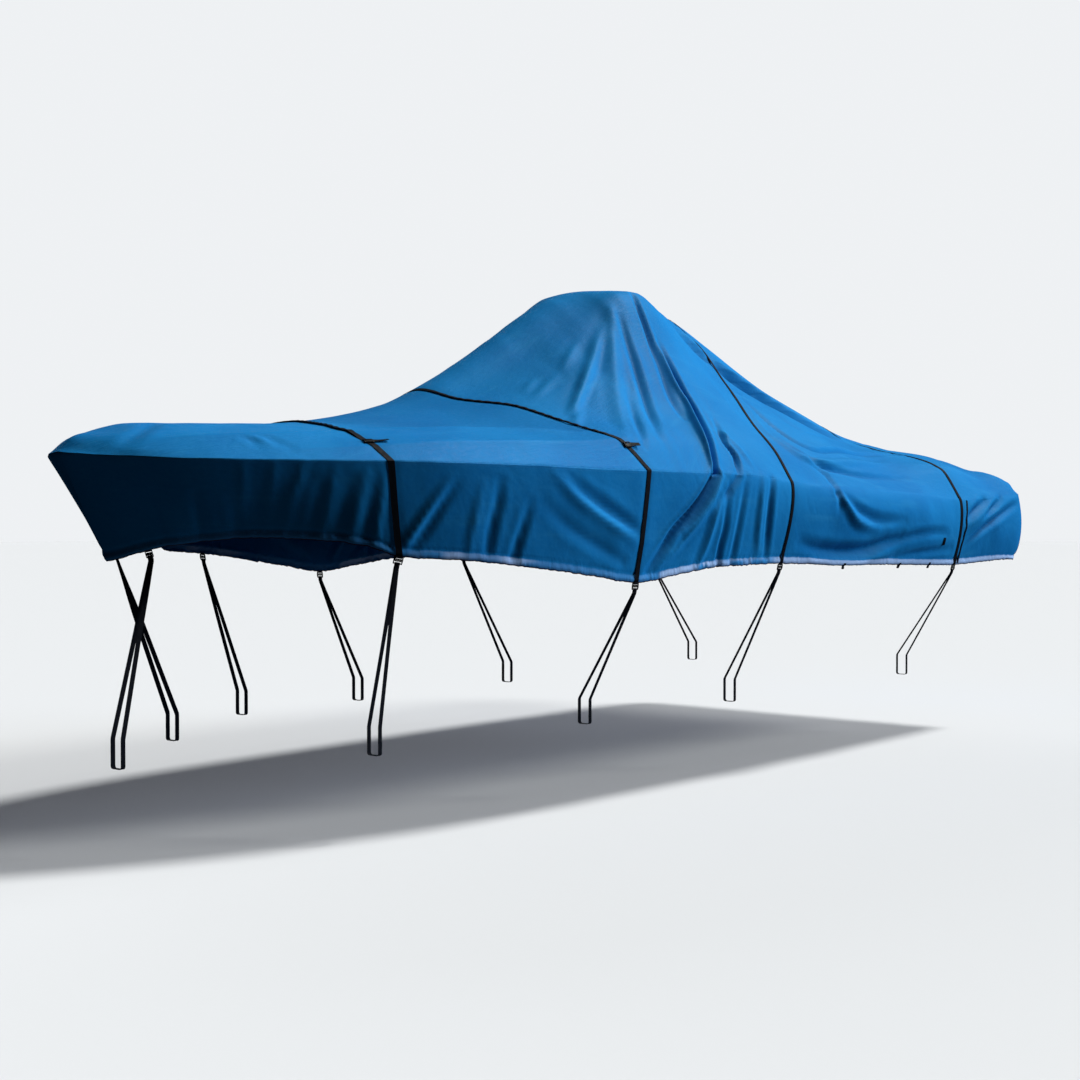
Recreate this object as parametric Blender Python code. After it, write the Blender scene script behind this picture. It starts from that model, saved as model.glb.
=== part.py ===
"""Fitted cover for a 23 ft centre-console boat, as it hangs: a top sheet stretched
over a narrow peak, two side skirts and a stern skirt sewn to it along the gunwale
line, four over-straps, and the tie-down webbing below the hem.

Metres, +Z up, +X towards the stern, +Y to starboard.  The tables are written in a
working frame with x from the bow tip and z from the ground; everything is shifted
by ORIGIN at the end, so the part's origin is the underside of the top sheet at the
peak.
"""
import math

import bpy
import numpy as np

# ------------------------------------------------------------------ dimensions
ORIGIN = (3.80, 0.0, 2.785)      # working frame position of the part's origin
CLOTH = 0.0020                   # thickness of the sheet
SEAM = 0.00034                   # clear space between two panels at a seam
STRAP_W = 0.038                  # over-strap webbing width
STRAP_T = 0.0020                 # over-strap webbing thickness
STRAP_LIFT = 0.0006              # clear space between cloth and webbing
TIE_W = 0.025                    # tie-down webbing width
TIE_T = 0.0022                   # tie-down webbing thickness
BUCKLE = (0.046, 0.036, 0.012)   # hem buckle: along the hem, down, through
SHOULDER = (0.046, 0.034, 0.008)  # buckle on the top of straps 1 and 2
BEAM_TOP, BEAM_FOOT = 0.515, 0.385   # height of the bar each tie-down loop goes round
BEAM_W = 0.070                   # its width
PIECE_GAP = 0.0004               # clear space between a buckle and its webbing

# Cross-sections of the top sheet.  Heights are given at fixed fractions of the
# half beam: edge 1.0, rail 0.90, hip 0.72, mid 0.45, crown 0.20, ridge 0.
T_COLS = (0.0, 0.20, 0.45, 0.72, 0.90, 1.0)
SECTIONS = (
    # x,   half,  edge,  rail,  hip,   mid,   crown, ridge
    (0.03, 0.100, 1.757, 1.758, 1.760, 1.763, 1.766, 1.768),
    (0.07, 0.165, 1.748, 1.756, 1.772, 1.795, 1.815, 1.828),
    (0.20, 0.315, 1.740, 1.772, 1.806, 1.836, 1.849, 1.856),
    (0.36, 0.455, 1.732, 1.768, 1.828, 1.866, 1.886, 1.893),
    (0.60, 0.610, 1.730, 1.774, 1.848, 1.884, 1.900, 1.904),
    (1.10, 0.860, 1.729, 1.796, 1.866, 1.900, 1.913, 1.917),
    (1.50, 1.010, 1.727, 1.824, 1.874, 1.917, 1.938, 1.946),
    (2.10, 1.140, 1.714, 1.838, 1.893, 1.960, 2.020, 2.060),
    (2.40, 1.185, 1.706, 1.848, 1.918, 2.020, 2.100, 2.185),
    (2.75, 1.215, 1.703, 1.868, 1.962, 2.125, 2.245, 2.360),
    (3.10, 1.232, 1.700, 1.872, 2.020, 2.265, 2.430, 2.550),
    (3.45, 1.243, 1.698, 1.862, 2.040, 2.370, 2.630, 2.720),
    (3.72, 1.248, 1.688, 1.850, 2.040, 2.400, 2.768, 2.786),
    (3.90, 1.251, 1.670, 1.840, 2.030, 2.380, 2.785, 2.797),
    (4.10, 1.253, 1.655, 1.825, 2.005, 2.335, 2.715, 2.782),
    (4.30, 1.255, 1.645, 1.810, 1.980, 2.285, 2.630, 2.750),
    (4.60, 1.258, 1.634, 1.785, 1.950, 2.215, 2.515, 2.680),
    (4.90, 1.260, 1.622, 1.765, 1.920, 2.150, 2.385, 2.575),
    (5.60, 1.262, 1.595, 1.720, 1.830, 1.985, 2.165, 2.318),
    (6.20, 1.262, 1.563, 1.755, 1.835, 1.890, 2.010, 2.145),
    (6.70, 1.258, 1.560, 1.702, 1.776, 1.884, 1.925, 2.020),
    (7.05, 1.250, 1.557, 1.680, 1.725, 1.848, 1.900, 1.960),
)

# Hem of the skirts: half beam and height along the boat.
HEM = (
    # x,   half,  z
    (0.27, 0.020, 1.276),
    (0.38, 0.140, 1.323),
    (0.49, 0.240, 1.353),
    (0.75, 0.460, 1.379),
    (1.01, 0.665, 1.363),
    (1.15, 0.765, 1.336),
    (1.29, 0.838, 1.287),
    (1.57, 0.943, 1.267),
    (1.88, 1.025, 1.235),
    (2.37, 1.116, 1.171),
    (2.72, 1.156, 1.127),
    (3.02, 1.177, 1.157),
    (3.43, 1.195, 1.189),
    (3.86, 1.207, 1.192),
    (4.64, 1.222, 1.167),
    (5.40, 1.225, 1.146),
    (6.16, 1.225, 1.126),
    (6.89, 1.217, 1.140),
    (7.20, 1.212, 1.122),
)

# Where a line down the skirt starts at the gunwale and where it ends at the hem,
# how far the skirt bellies out on the way, and how far down the belly sits.
SKIRT = (
    # x_edge, x_hem, belly, belly_at
    (0.03, 0.310, 0.000, 0.50),
    (0.20, 0.410, 0.004, 0.50),
    (0.60, 0.720, 0.006, 0.50),
    (1.17, 1.280, 0.000, 0.50),
    (1.60, 1.670, 0.010, 0.50),
    (2.20, 2.210, 0.012, 0.45),
    (2.73, 2.690, 0.006, 0.45),
    (3.30, 3.260, 0.020, 0.40),
    (4.05, 4.000, 0.032, 0.35),
    (4.80, 4.780, 0.055, 0.35),
    (5.60, 5.590, 0.060, 0.40),
    (6.16, 6.130, 0.030, 0.40),
    (6.60, 6.600, 0.040, 0.45),
    (7.05, 7.080, 0.022, 0.50),
)
STEM_HEM = (0.270, 0.0, 1.274)   # lowest point of the hem under the bow
STERN_BELLY = 0.060              # how far the stern skirt bellies aft

# Lines across the boat that the over-straps follow.
G_COLS = (-1.0, -0.90, -0.72, -0.45, -0.20, 0.0, 0.45, 1.0)
STRAP_LINES = (
    # x at:  -1.0   -0.90  -0.72  -0.45  -0.20   0.0    0.45   1.0
    ("1", (1.17, 1.160, 1.155, 1.215, 1.325, 1.410, 1.490, 1.560)),
    ("2", (2.73, 2.640, 2.550, 2.480, 2.350, 2.305, 2.480, 2.730)),
    ("3", (4.05, 4.080, 4.200, 4.420, 4.525, 4.555, 4.430, 4.080)),
    ("4", (6.16, 6.125, 6.205, 6.330, 6.405, 6.430, 6.340, 6.180)),
)
ROWS_BETWEEN = (9, 10, 12, 14, 6)    # mesh rows ahead of, between and behind the straps

# Main folds of the top sheet, in plan.  A positive depth is a trough.
TOP_FOLDS = (
    # x0,   y0,    x1,    y1,   depth, width
    (3.88, -0.46, 3.31, -1.24, 0.040, 0.060),
    (3.80, -0.32, 3.42, -0.98, 0.016, 0.055),
    (3.60, -0.38, 2.98, -1.10, 0.016, 0.060),
    (3.42, -0.38, 2.66, -0.78, -0.016, 0.060),
    (3.24, -0.34, 2.92, -0.50, -0.010, 0.055),
    (3.66, -0.90, 3.53, -1.25, 0.020, 0.050),
    (4.36, -0.20, 6.10, -0.42, 0.016, 0.080),
    (4.42, -0.80, 5.80, -0.90, 0.020, 0.080),
    (4.40, -1.08, 5.50, -1.17, 0.012, 0.060),
    (3.86, 0.46, 3.40, 1.22, 0.026, 0.065),
    (3.58, 0.36, 3.02, 1.08, 0.016, 0.065),
    (3.42, 0.38, 2.70, 0.78, -0.014, 0.065),
    (4.36, 0.22, 6.00, 0.40, 0.014, 0.080),
    (4.50, 0.84, 5.70, 0.92, 0.016, 0.080),
)

# Main folds of the side skirts: gunwale station and fraction down, at both ends.
# side is -1 for port, 1 for starboard.
SKIRT_FOLDS = (
    # side, s0,  v0,   s1,   v1,  depth, width
    (-1, 3.31, 0.00, 2.86, 0.95, 0.022, 0.055),
    (-1, 3.53, 0.00, 3.16, 0.55, 0.018, 0.050),
    (-1, 3.78, 0.10, 3.70, 0.95, 0.014, 0.050),
    (-1, 2.05, 0.25, 2.55, 0.75, 0.014, 0.055),
    (-1, 1.68, 0.15, 1.60, 0.90, 0.012, 0.050),
    (-1, 1.02, 0.10, 0.98, 0.95, 0.010, 0.045),
    (-1, 0.72, 0.10, 0.70, 0.95, 0.008, 0.045),
    (-1, 4.50, 0.05, 4.62, 0.40, 0.014, 0.060),
    (-1, 4.60, 0.80, 5.90, 0.72, 0.016, 0.080),
    (-1, 6.90, 0.05, 6.40, 0.70, 0.014, 0.060),
    (1, 3.40, 0.00, 3.00, 0.95, 0.018, 0.060),
    (1, 3.80, 0.10, 3.70, 0.95, 0.014, 0.055),
    (1, 2.05, 0.25, 2.50, 0.75, 0.012, 0.060),
    (1, 1.00, 0.10, 0.96, 0.95, 0.010, 0.050),
    (1, 4.60, 0.80, 5.90, 0.74, 0.014, 0.080),
)

# Where each tie-down loop goes round its bar.
TIE_DOWNS = (
    # name,          strap, side, x_bar, y_bar
    ("port_1",       0, -1, 1.13, -0.820),
    ("port_2",       1, -1, 2.66, -0.850),
    ("port_3",       2, -1, 4.02, -0.860),
    ("port_4",       3, -1, 6.12, -0.860),
    ("starboard_1",  0,  1, 1.80,  0.840),
    ("starboard_2",  1,  1, 2.70,  0.850),
    ("starboard_3",  2,  1, 4.06,  0.860),
    ("starboard_4",  3,  1, 6.16,  0.860),
)
BOW_TIES = (
    # name,          side, x_bar, y_bar
    ("bow_port",      -1, 0.13, -0.250),
    ("bow_starboard",  1, 0.88,  0.300),
)
HEM_TABS = (4.64, 5.40, 5.72)     # x at the hem of the small webbing tabs, each side
TAB_W, TAB_T = 0.022, 0.0014     # their webbing
TAB_UP, TAB_DOWN, TAB_CLEAR = 0.016, 0.020, 0.0011   # above, below and off the hem
SHOULDERS = (                    # buckles on the webbing, port side, and their free ends
    # strap, between mesh lines t and t, free end length
    (0, -0.90, -0.81, 0.075),
    (1, -0.95, -0.90, 0.060),
)
KEEPER = (5.84, 0.60, 0.028, 0.050, 0.003)   # webbing keeper on the port skirt:
                                             # station, fraction down, wide, tall, thick

T_PORT = (-1.0, -0.95, -0.90, -0.81, -0.72, -0.585, -0.45, -0.325, -0.20, -0.10)
T_MESH = T_PORT + (0.0,) + tuple(-t for t in reversed(T_PORT))
V_MESH = (0.0, 0.22, 0.48, 0.74, 1.0)


# ------------------------------------------------------------------ curves
def slopes(h, d):
    """Tangents of a monotone cubic through rows with spacings h and slopes d."""
    m = np.zeros((len(h) + 1,) + d.shape[1:])
    w1 = 2 * h[1:] + h[:-1]
    w2 = h[1:] + 2 * h[:-1]
    if d.ndim > 1:
        w1, w2 = w1[:, None], w2[:, None]
    same = d[:-1] * d[1:] > 0
    a = np.where(same, d[:-1], 1.0)
    b = np.where(same, d[1:], 1.0)
    m[1:-1] = np.where(same, (w1 + w2) / (w1 / a + w2 / b), 0.0)
    m[0], m[-1] = d[0], d[-1]
    return m


class Curve:
    """Monotone cubic through (x, row of values)."""

    def __init__(self, xs, ys):
        self.x = np.asarray(xs, float)
        self.y = np.asarray(ys, float)
        self.h = np.diff(self.x)
        d = np.diff(self.y, axis=0) / (self.h[:, None] if self.y.ndim > 1 else self.h)
        self.m = slopes(self.h, d)

    def __call__(self, x):
        x = np.asarray(x, float)
        i = np.clip(np.searchsorted(self.x, x, side="right") - 1, 0, len(self.h) - 1)
        t = (x - self.x[i]) / self.h[i]
        hh = self.h[i]
        if self.y.ndim > 1:
            t, hh = t[..., None], hh[..., None]
        return ((1 + 2 * t) * (1 - t) ** 2 * self.y[i] + t * (1 - t) ** 2 * hh * self.m[i]
                + t * t * (3 - 2 * t) * self.y[i + 1] + t * t * (t - 1) * hh * self.m[i + 1])


SECTION = Curve([r[0] for r in SECTIONS], [r[1:] for r in SECTIONS])
HEM_LINE = Curve([r[0] for r in HEM], [r[1:] for r in HEM])
SKIRT_LINE = Curve([r[0] for r in SKIRT], [r[1:] for r in SKIRT])


def top_height(x, t):
    """Height of the top sheet without folds at x and fraction t of the half beam."""
    row = SECTION(max(x, SECTIONS[0][0]))
    profile = Curve(T_COLS, row[:0:-1])
    profile.m[0] = 0.0
    return float(profile(min(abs(t), 1.0)))


def ridge_of(a, b, p, depth, width):
    """Depth of one fold at point p: a smooth trough along a-b that fades at its ends."""
    ax, ay = b[0] - a[0], b[1] - a[1]
    px, py = p[0] - a[0], p[1] - a[1]
    length = math.hypot(ax, ay)
    along = (px * ax + py * ay) / (length * length)
    across = (px * ay - py * ax) / length
    if along < -0.15 or along > 1.15:
        return 0.0
    fade = math.sin(math.pi * min(max((along + 0.15) / 1.3, 0.0), 1.0)) ** 0.7
    return depth * fade * math.exp(-(across / width) ** 2)


def top_point(x, y):
    """Point of the top sheet above (x, y), main folds included."""
    half = float(SECTION(max(x, SECTIONS[0][0]))[0])
    t = y / half
    z = top_height(x, t)
    for x0, y0, x1, y1, depth, width in TOP_FOLDS:
        z -= ridge_of((x0, y0), (x1, y1), (x, y), depth, width)
    return np.array((x, y, z))


def skirt_point(s, side, v):
    """Point of a side skirt under gunwale station s, fraction v of the way down."""
    half, edge = SECTION(s)[:2]
    x_hem, belly, at = SKIRT_LINE(s)
    hem_half, hem_z = HEM_LINE(x_hem)
    a = top_point(s, side * half)
    b = np.array((x_hem, side * hem_half, hem_z))
    p = a + (b - a) * v
    ds = 0.02
    slope = (float(SECTION(s + ds)[0]) - float(SECTION(max(s - ds, 0.03))[0])) / (
        s + ds - max(s - ds, 0.03))
    n = np.array((-slope, side, 0.0)) / math.hypot(slope, 1.0)
    if s > 6.9:                                   # turn the belly round the stern corner
        n = n + np.array((0.8, 0.0, 0.0)) * (s - 6.9) / 0.15
    hump = math.sin(math.pi * (v ** (math.log(0.5) / math.log(at))))
    out = belly * hump
    for fside, s0, v0, s1, v1, depth, width in SKIRT_FOLDS:
        if fside == side:
            tall = 0.5
            out -= ridge_of((s0, v0 * tall), (s1, v1 * tall), (s, v * tall), depth, width) \
                * math.sin(math.pi * min(v + 0.12, 1.0)) ** 0.5
    return p + n * out


# ------------------------------------------------------------------ mesh lines
def strap_half_width(line, t, side_sign, dt=0.01):
    """How far along x the webbing's edge lies from its centre line at t."""
    def at(tt, dx=0.0):
        x = float(line(tt)) + dx
        half = float(SECTION(x)[0])
        return top_point(x, tt * half)
    along = at(min(t + dt, 1.0)) - at(max(t - dt, -1.0))
    along /= np.linalg.norm(along)
    across = (at(t, 0.01) - at(t, -0.01)) / 0.02
    return 0.5 * STRAP_W / np.linalg.norm(np.cross(across, along))


def stations():
    """Rows of x against t for the top sheet, and the row index of each strap."""
    lines = [Curve(G_COLS, xs) for _, xs in STRAP_LINES]
    ts = np.array(T_MESH)
    edges = []
    for line in lines:
        dx = np.array([strap_half_width(line, t, 1) for t in ts])
        x = line(ts)
        edges.append((x - dx, x + dx))
    bow = 0.03 * ts ** 2
    stern = np.full(len(ts), 7.05)
    blocks = [(None, bow)] + edges + [(stern, None)]
    rows, strap_rows = [bow], []
    for k, count in enumerate(ROWS_BETWEEN):
        a, b = blocks[k][1], blocks[k + 1][0]
        for i in range(1, count + 1):
            w = i / (count + 1)
            if k == 0:
                w = w ** 1.35                       # closer rows round the bow
            rows.append(a * (1 - w) + b * w)
        rows.append(b)
        if k < len(edges):
            strap_rows.append(len(rows) - 1)
            rows.append(blocks[k + 1][1])
    return np.array(rows), strap_rows


def surfaces():
    """Outer surfaces of the four panels as grids that share their seam points."""
    rows, strap_rows = stations()
    ts = np.array(T_MESH)
    n_rows, n_cols = rows.shape
    top = np.zeros((n_rows, n_cols, 3))
    for i in range(n_rows):
        for j in range(n_cols):
            x = rows[i, j]
            if i == 0:
                y = 0.10 * ts[j]
                top[i, j] = (x, y, 1.757 + 0.011 * (1 - ts[j] ** 2))
            else:
                half = float(SECTION(x)[0])
                top[i, j] = top_point(x, ts[j] * half)
    middle = n_cols // 2
    skirts = {}
    for side in (-1, 1):
        col = 0 if side < 0 else n_cols - 1
        step = -1 if side < 0 else 1
        grid = []
        for j in range(middle, col, step):          # round the nose
            t = abs(ts[j])
            a = top[0, j]
            b0 = np.array(STEM_HEM)
            b1 = skirt_point(0.03, side, 1.0)
            b = b0 + (b1 - b0) * t
            grid.append([a + (b - a) * v for v in V_MESH])
        for i in range(n_rows):
            line = [skirt_point(max(rows[i, col], 0.03), side, v) for v in V_MESH]
            a = top[i, col]
            shift = a - line[0]
            grid.append([p + shift * (1 - v) for p, v in zip(line, V_MESH)])
        skirts[side] = np.array(grid)
    port_corner, star_corner = skirts[-1][-1], skirts[1][-1]
    stern = np.zeros((n_cols, len(V_MESH), 3))
    for j in range(n_cols):
        t = ts[j]
        w = 0.5 * (t + 1)
        for k, v in enumerate(V_MESH):
            corner = port_corner[k] * (1 - w) + star_corner[k] * w
            p = corner.copy()
            lift = top[-1, j, 2] - (port_corner[0][2] * (1 - w) + star_corner[0][2] * w)
            p[2] += lift * (1 - v)
            p[0] += STERN_BELLY * math.sin(math.pi * v) * (1 - t * t) * 0.6
            stern[j, k] = p
        stern[j, 0] = top[-1, j]
    return top, skirts, stern, strap_rows, rows


def grid_normals(grid, flip):
    """Unit normals of a grid's points, pointing out of the cover."""
    n = np.zeros_like(grid)
    a, b, c, d = grid[:-1, :-1], grid[1:, :-1], grid[1:, 1:], grid[:-1, 1:]
    for p, q, r, slots in ((a, b, c, ((0, 0), (1, 0), (1, 1))), (a, c, d, ((0, 0), (1, 1), (0, 1)))):
        f = np.cross(q - p, r - p)
        for i, j in slots:
            n[i:n.shape[0] - 1 + i, j:n.shape[1] - 1 + j] += f
    n /= np.linalg.norm(n, axis=2, keepdims=True)
    return -n if flip else n


def key(p):
    return tuple(int(round(c * 1e5)) for c in p)


def mitred(panels):
    """Offset vectors that keep the cloth's thickness true, shared along the seams."""
    meet = {}
    for name, (grid, normals) in panels.items():
        border = np.ones(grid.shape[:2], bool)
        border[1:-1, 1:-1] = False
        for i, j in zip(*np.nonzero(border)):
            meet.setdefault(key(grid[i, j]), []).append(normals[i, j])
    out = {}
    for name, (grid, normals) in panels.items():
        off = normals.copy()
        for i in range(grid.shape[0]):
            for j in range(grid.shape[1]):
                group = meet.get(key(grid[i, j]))
                if group is not None and len(group) > 1:
                    m = np.sum(group, axis=0)
                    m /= np.linalg.norm(m)
                    off[i, j] = m / max(min(float(m @ g) for g in group), 0.45)
        out[name] = off
    return out


def pulled(grid, off, seams):
    """Grid with its seam borders moved in, square to the seam's mitre plane."""
    moved = grid.copy()
    for border in seams:
        if border == "first_row":
            line, inner = (0, slice(None)), (1, slice(None))
        elif border == "last_row":
            line, inner = (-1, slice(None)), (-2, slice(None))
        elif border == "first_col":
            line, inner = (slice(None), 0), (slice(None), 1)
        else:
            line, inner = (slice(None), -1), (slice(None), -2)
        p = grid[line]
        e = np.gradient(p, axis=0)
        m = off[line]
        q = np.cross(e, m)
        q /= np.linalg.norm(q, axis=1, keepdims=True)
        sign = np.sign(np.sum(q * (grid[inner] - p), axis=1))
        moved[line] += q * sign[:, None] * SEAM * 0.5
    return moved


# ------------------------------------------------------------------ solids
def material(name, colour, roughness, metallic=0.0):
    mat = bpy.data.materials.new(name)
    mat.use_nodes = True
    bsdf = mat.node_tree.nodes["Principled BSDF"]
    bsdf.inputs["Base Color"].default_value = (*colour, 1.0)
    bsdf.inputs["Roughness"].default_value = roughness
    bsdf.inputs["Metallic"].default_value = metallic
    return mat


def solid(name, verts, faces, mat):
    mesh = bpy.data.meshes.new(name)
    shift = np.array(ORIGIN)
    mesh.from_pydata([tuple(np.asarray(v) - shift) for v in verts], [], faces)
    mesh.validate()
    mesh.update()
    mesh.materials.append(mat)
    obj = bpy.data.objects.new(name, mesh)
    bpy.context.scene.collection.objects.link(obj)
    return obj


def slab(name, outer, inner, mat, flip):
    """Closed sheet between two grids of the same shape."""
    rows, cols = outer.shape[:2]
    n = rows * cols
    verts = list(outer.reshape(-1, 3)) + list(inner.reshape(-1, 3))
    faces = []

    def idx(i, j):
        return i * cols + j

    for i in range(rows - 1):
        for j in range(cols - 1):
            a, b, c, d = idx(i, j), idx(i + 1, j), idx(i + 1, j + 1), idx(i, j + 1)
            faces += [(a, b, c), (a, c, d)]
            faces += [(n + a, n + c, n + b), (n + a, n + d, n + c)]
    loop = [idx(i, 0) for i in range(rows - 1)]
    loop += [idx(rows - 1, j) for j in range(cols - 1)]
    loop += [idx(i, cols - 1) for i in range(rows - 1, 0, -1)]
    loop += [idx(0, j) for j in range(cols - 1, 0, -1)]
    for a, b in zip(loop, loop[1:] + loop[:1]):
        faces += [(a, n + a, n + b), (a, n + b, b)]
    if flip:
        faces = [tuple(reversed(f)) for f in faces]
    return solid(name, verts, faces, mat)


def ribbon(name, path, widths, width, thick, mat):
    """Flat webbing along a path: one cross-section per point, capped at both ends."""
    path = np.asarray(path, float)
    tangent = np.gradient(path, axis=0)
    tangent /= np.linalg.norm(tangent, axis=1, keepdims=True)
    verts = []
    for p, t, w in zip(path, tangent, widths):
        w = np.asarray(w, float)
        w = w - t * (w @ t)
        w /= np.linalg.norm(w)
        n = np.cross(t, w)
        a, b = 0.5 * width * w, 0.5 * thick * n
        verts += [p - a - b, p + a - b, p + a + b, p - a + b]
    faces = [(0, 3, 2, 1)]
    for k in range(len(path) - 1):
        o = 4 * k
        for i in range(4):
            j = (i + 1) % 4
            faces += [(o + i, o + j, o + 4 + j), (o + i, o + 4 + j, o + 4 + i)]
    o = 4 * (len(path) - 1)
    faces.append((o, o + 1, o + 2, o + 3))
    return solid(name, verts, faces, mat)


def squared(along, down):
    """Unit vectors along the hem and down, square to each other."""
    along = along / np.linalg.norm(along)
    down = down - along * (down @ along)
    return along, down / np.linalg.norm(down)


def block(name, centre, along, down, size, mat, chamfer=0.003):
    """Bevelled buckle body: size along the webbing's width, down, and through."""
    along = np.asarray(along, float)
    along /= np.linalg.norm(along)
    down = np.asarray(down, float)
    down = down - along * (down @ along)
    down /= np.linalg.norm(down)
    out = np.cross(along, down)
    a, b, c = (s * 0.5 for s in size)
    outline = [(-a + chamfer, -b), (a - chamfer, -b), (a, -b + chamfer), (a, b - chamfer),
               (a - chamfer, b), (-a + chamfer, b), (-a, b - chamfer), (-a, -b + chamfer)]
    verts = []
    for level in (-c, c):
        verts += [np.asarray(centre) + along * u + down * w + out * level for u, w in outline]
    n = len(outline)
    faces = [tuple(reversed(range(n))), tuple(range(n, 2 * n))]
    faces += [(i, (i + 1) % n, n + (i + 1) % n, n + i) for i in range(n)]
    return solid(name, verts, faces, mat)


def bar_loop(start, end, down, x_bar, y_bar, side):
    """Path of a tie-down: down outside the bar, round its foot and up behind it."""
    first, last = np.asarray(start), np.asarray(end)
    start, end = first + down * 0.016, last + down * 0.016
    y_out, y_in = y_bar + side * BEAM_W * 0.5, y_bar - side * BEAM_W * 0.5
    r = 0.012
    points = [first, start]
    top_out = np.array((x_bar, y_out, BEAM_TOP))
    top_in = np.array((x_bar, y_in, BEAM_TOP))
    for w in (0.25, 0.5, 0.75):
        points.append(start + (top_out - start) * w)
    points.append(top_out)
    points.append(np.array((x_bar, y_out, BEAM_FOOT + r)))
    for a in (30, 60, 90):
        a = math.radians(a)
        points.append(np.array((x_bar, y_out - side * r * (1 - math.cos(a)),
                                BEAM_FOOT + r - r * math.sin(a))))
    for a in (90, 60, 30, 0):
        a = math.radians(a)
        points.append(np.array((x_bar, y_in + side * r * (1 - math.cos(a)),
                                BEAM_FOOT + r - r * math.sin(a))))
    points.append(top_in)
    for w in (0.25, 0.5, 0.75):
        points.append(top_in + (end - top_in) * w)
    points += [end, last]
    return points


# ------------------------------------------------------------------ build
for stale in list(bpy.data.objects):
    bpy.data.objects.remove(stale, do_unlink=True)

blue = material("cover_cloth", (0.018, 0.130, 0.420), 0.62)
black = material("webbing", (0.012, 0.012, 0.014), 0.75)
plastic = material("buckle_plastic", (0.015, 0.015, 0.016), 0.45)

top, skirts, stern, strap_rows, station_x = surfaces()
panels = {
    "top": (top, grid_normals(top, False)),
    "port": (skirts[-1], grid_normals(skirts[-1], True)),
    "starboard": (skirts[1], grid_normals(skirts[1], False)),
    "stern": (stern, grid_normals(stern, True)),
}
offsets = mitred(panels)
NODE = {"top": "top_sheet", "port": "side_skirt_port", "starboard": "side_skirt_starboard",
        "stern": "stern_skirt"}
SEAMS = {"top": ("first_row", "last_row", "first_col", "last_col"),
         "port": ("first_row", "last_row", "first_col"),
         "starboard": ("first_row", "last_row", "first_col"),
         "stern": ("first_row", "last_row", "first_col")}
FLIP = {"top": False, "port": True, "starboard": False, "stern": True}
for name, (grid, _) in panels.items():
    outer = pulled(grid, offsets[name], SEAMS[name])
    inner = outer - offsets[name] * CLOTH
    slab(NODE[name], outer, inner, blue, FLIP[name])

# Over-straps: webbing laid on the strip of cloth between two mesh rows.
nose = len(T_MESH) // 2
hem_ends = {}
for k, row in enumerate(strap_rows):
    left, right, lift_l, lift_r = [], [], [], []
    for r, pts, offs in ((row, left, lift_l), (row + 1, right, lift_r)):
        port, star = nose + r, nose + r
        pts += list(skirts[-1][port][::-1])
        offs += list(offsets["port"][port][::-1])
        pts += list(top[r][1:-1])
        offs += list(offsets["top"][r][1:-1])
        pts += list(skirts[1][star])
        offs += list(offsets["starboard"][star])
    left, right = np.array(left), np.array(right)
    lift_l, lift_r = np.array(lift_l), np.array(lift_r)
    low = np.stack([left + lift_l * STRAP_LIFT, right + lift_r * STRAP_LIFT], axis=1)
    high = np.stack([left + lift_l * (STRAP_LIFT + STRAP_T),
                     right + lift_r * (STRAP_LIFT + STRAP_T)], axis=1)
    slab("over_strap_" + STRAP_LINES[k][0], high.transpose(1, 0, 2), low.transpose(1, 0, 2),
         black, False)
    mid = 0.5 * (low + high).mean(axis=1)
    for side, end, before in ((-1, 0, 1), (1, -1, -2)):
        along = low[end, 1] - low[end, 0]
        hem_ends[(k, side)] = (mid[end], mid[end] - mid[before], along)

# Hem buckles and the tie-down loops below them.
for name, k, side, x_bar, y_bar in TIE_DOWNS:
    end, down, along = hem_ends[(k, side)]
    along, down = squared(along, down)
    centre = end + down * (PIECE_GAP + 0.5 * BUCKLE[1])
    block("hem_buckle_" + name, centre, along, down, BUCKLE, plastic)
    foot = centre + down * (0.5 * BUCKLE[1] + PIECE_GAP)
    normal = np.cross(along, down)
    if normal[1] * side < 0:
        normal = -normal
    path = bar_loop(foot + normal * 0.0035, foot - normal * 0.0035, down, x_bar, y_bar, side)
    ends = 4
    widths = []
    for i in range(len(path)):
        w = min(1.0, max(0.0, min(i, len(path) - 1 - i) - 1) / ends)
        widths.append(along * (1 - w) + np.array((1.0, 0.0, 0.0)) * w)
    ribbon("tie_down_" + name, path, widths, TIE_W, TIE_T, black)

# Bow ties, hung from the hem either side of the stem.
for name, side, x_bar, y_bar in BOW_TIES:
    grid = skirts[side]
    col = nose + 2
    end = grid[col, -1]
    along, down = squared(grid[col + 1, -1] - grid[col - 1, -1], grid[col, -1] - grid[col, -2])
    normal = np.cross(along, down)
    if normal[1] * side < 0:
        normal = -normal
    centre = end - offsets["port" if side < 0 else "starboard"][col, -1] * CLOTH * 0.5 \
        + down * (0.0012 + 0.5 * BUCKLE[1])
    block("hem_buckle_" + name, centre, along, down, (0.034, BUCKLE[1], 0.010), plastic)
    foot = centre + down * (0.5 * BUCKLE[1] + PIECE_GAP)
    path = bar_loop(foot + normal * 0.003, foot - normal * 0.003, down, x_bar, y_bar, side)
    widths = []
    for i in range(len(path)):
        w = min(1.0, max(0.0, min(i, len(path) - 1 - i) - 1) / 4)
        widths.append(along * (1 - w) + np.array((1.0, 0.0, 0.0)) * w)
    ribbon("tie_down_" + name, path, widths, TIE_W, TIE_T, black)

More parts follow.
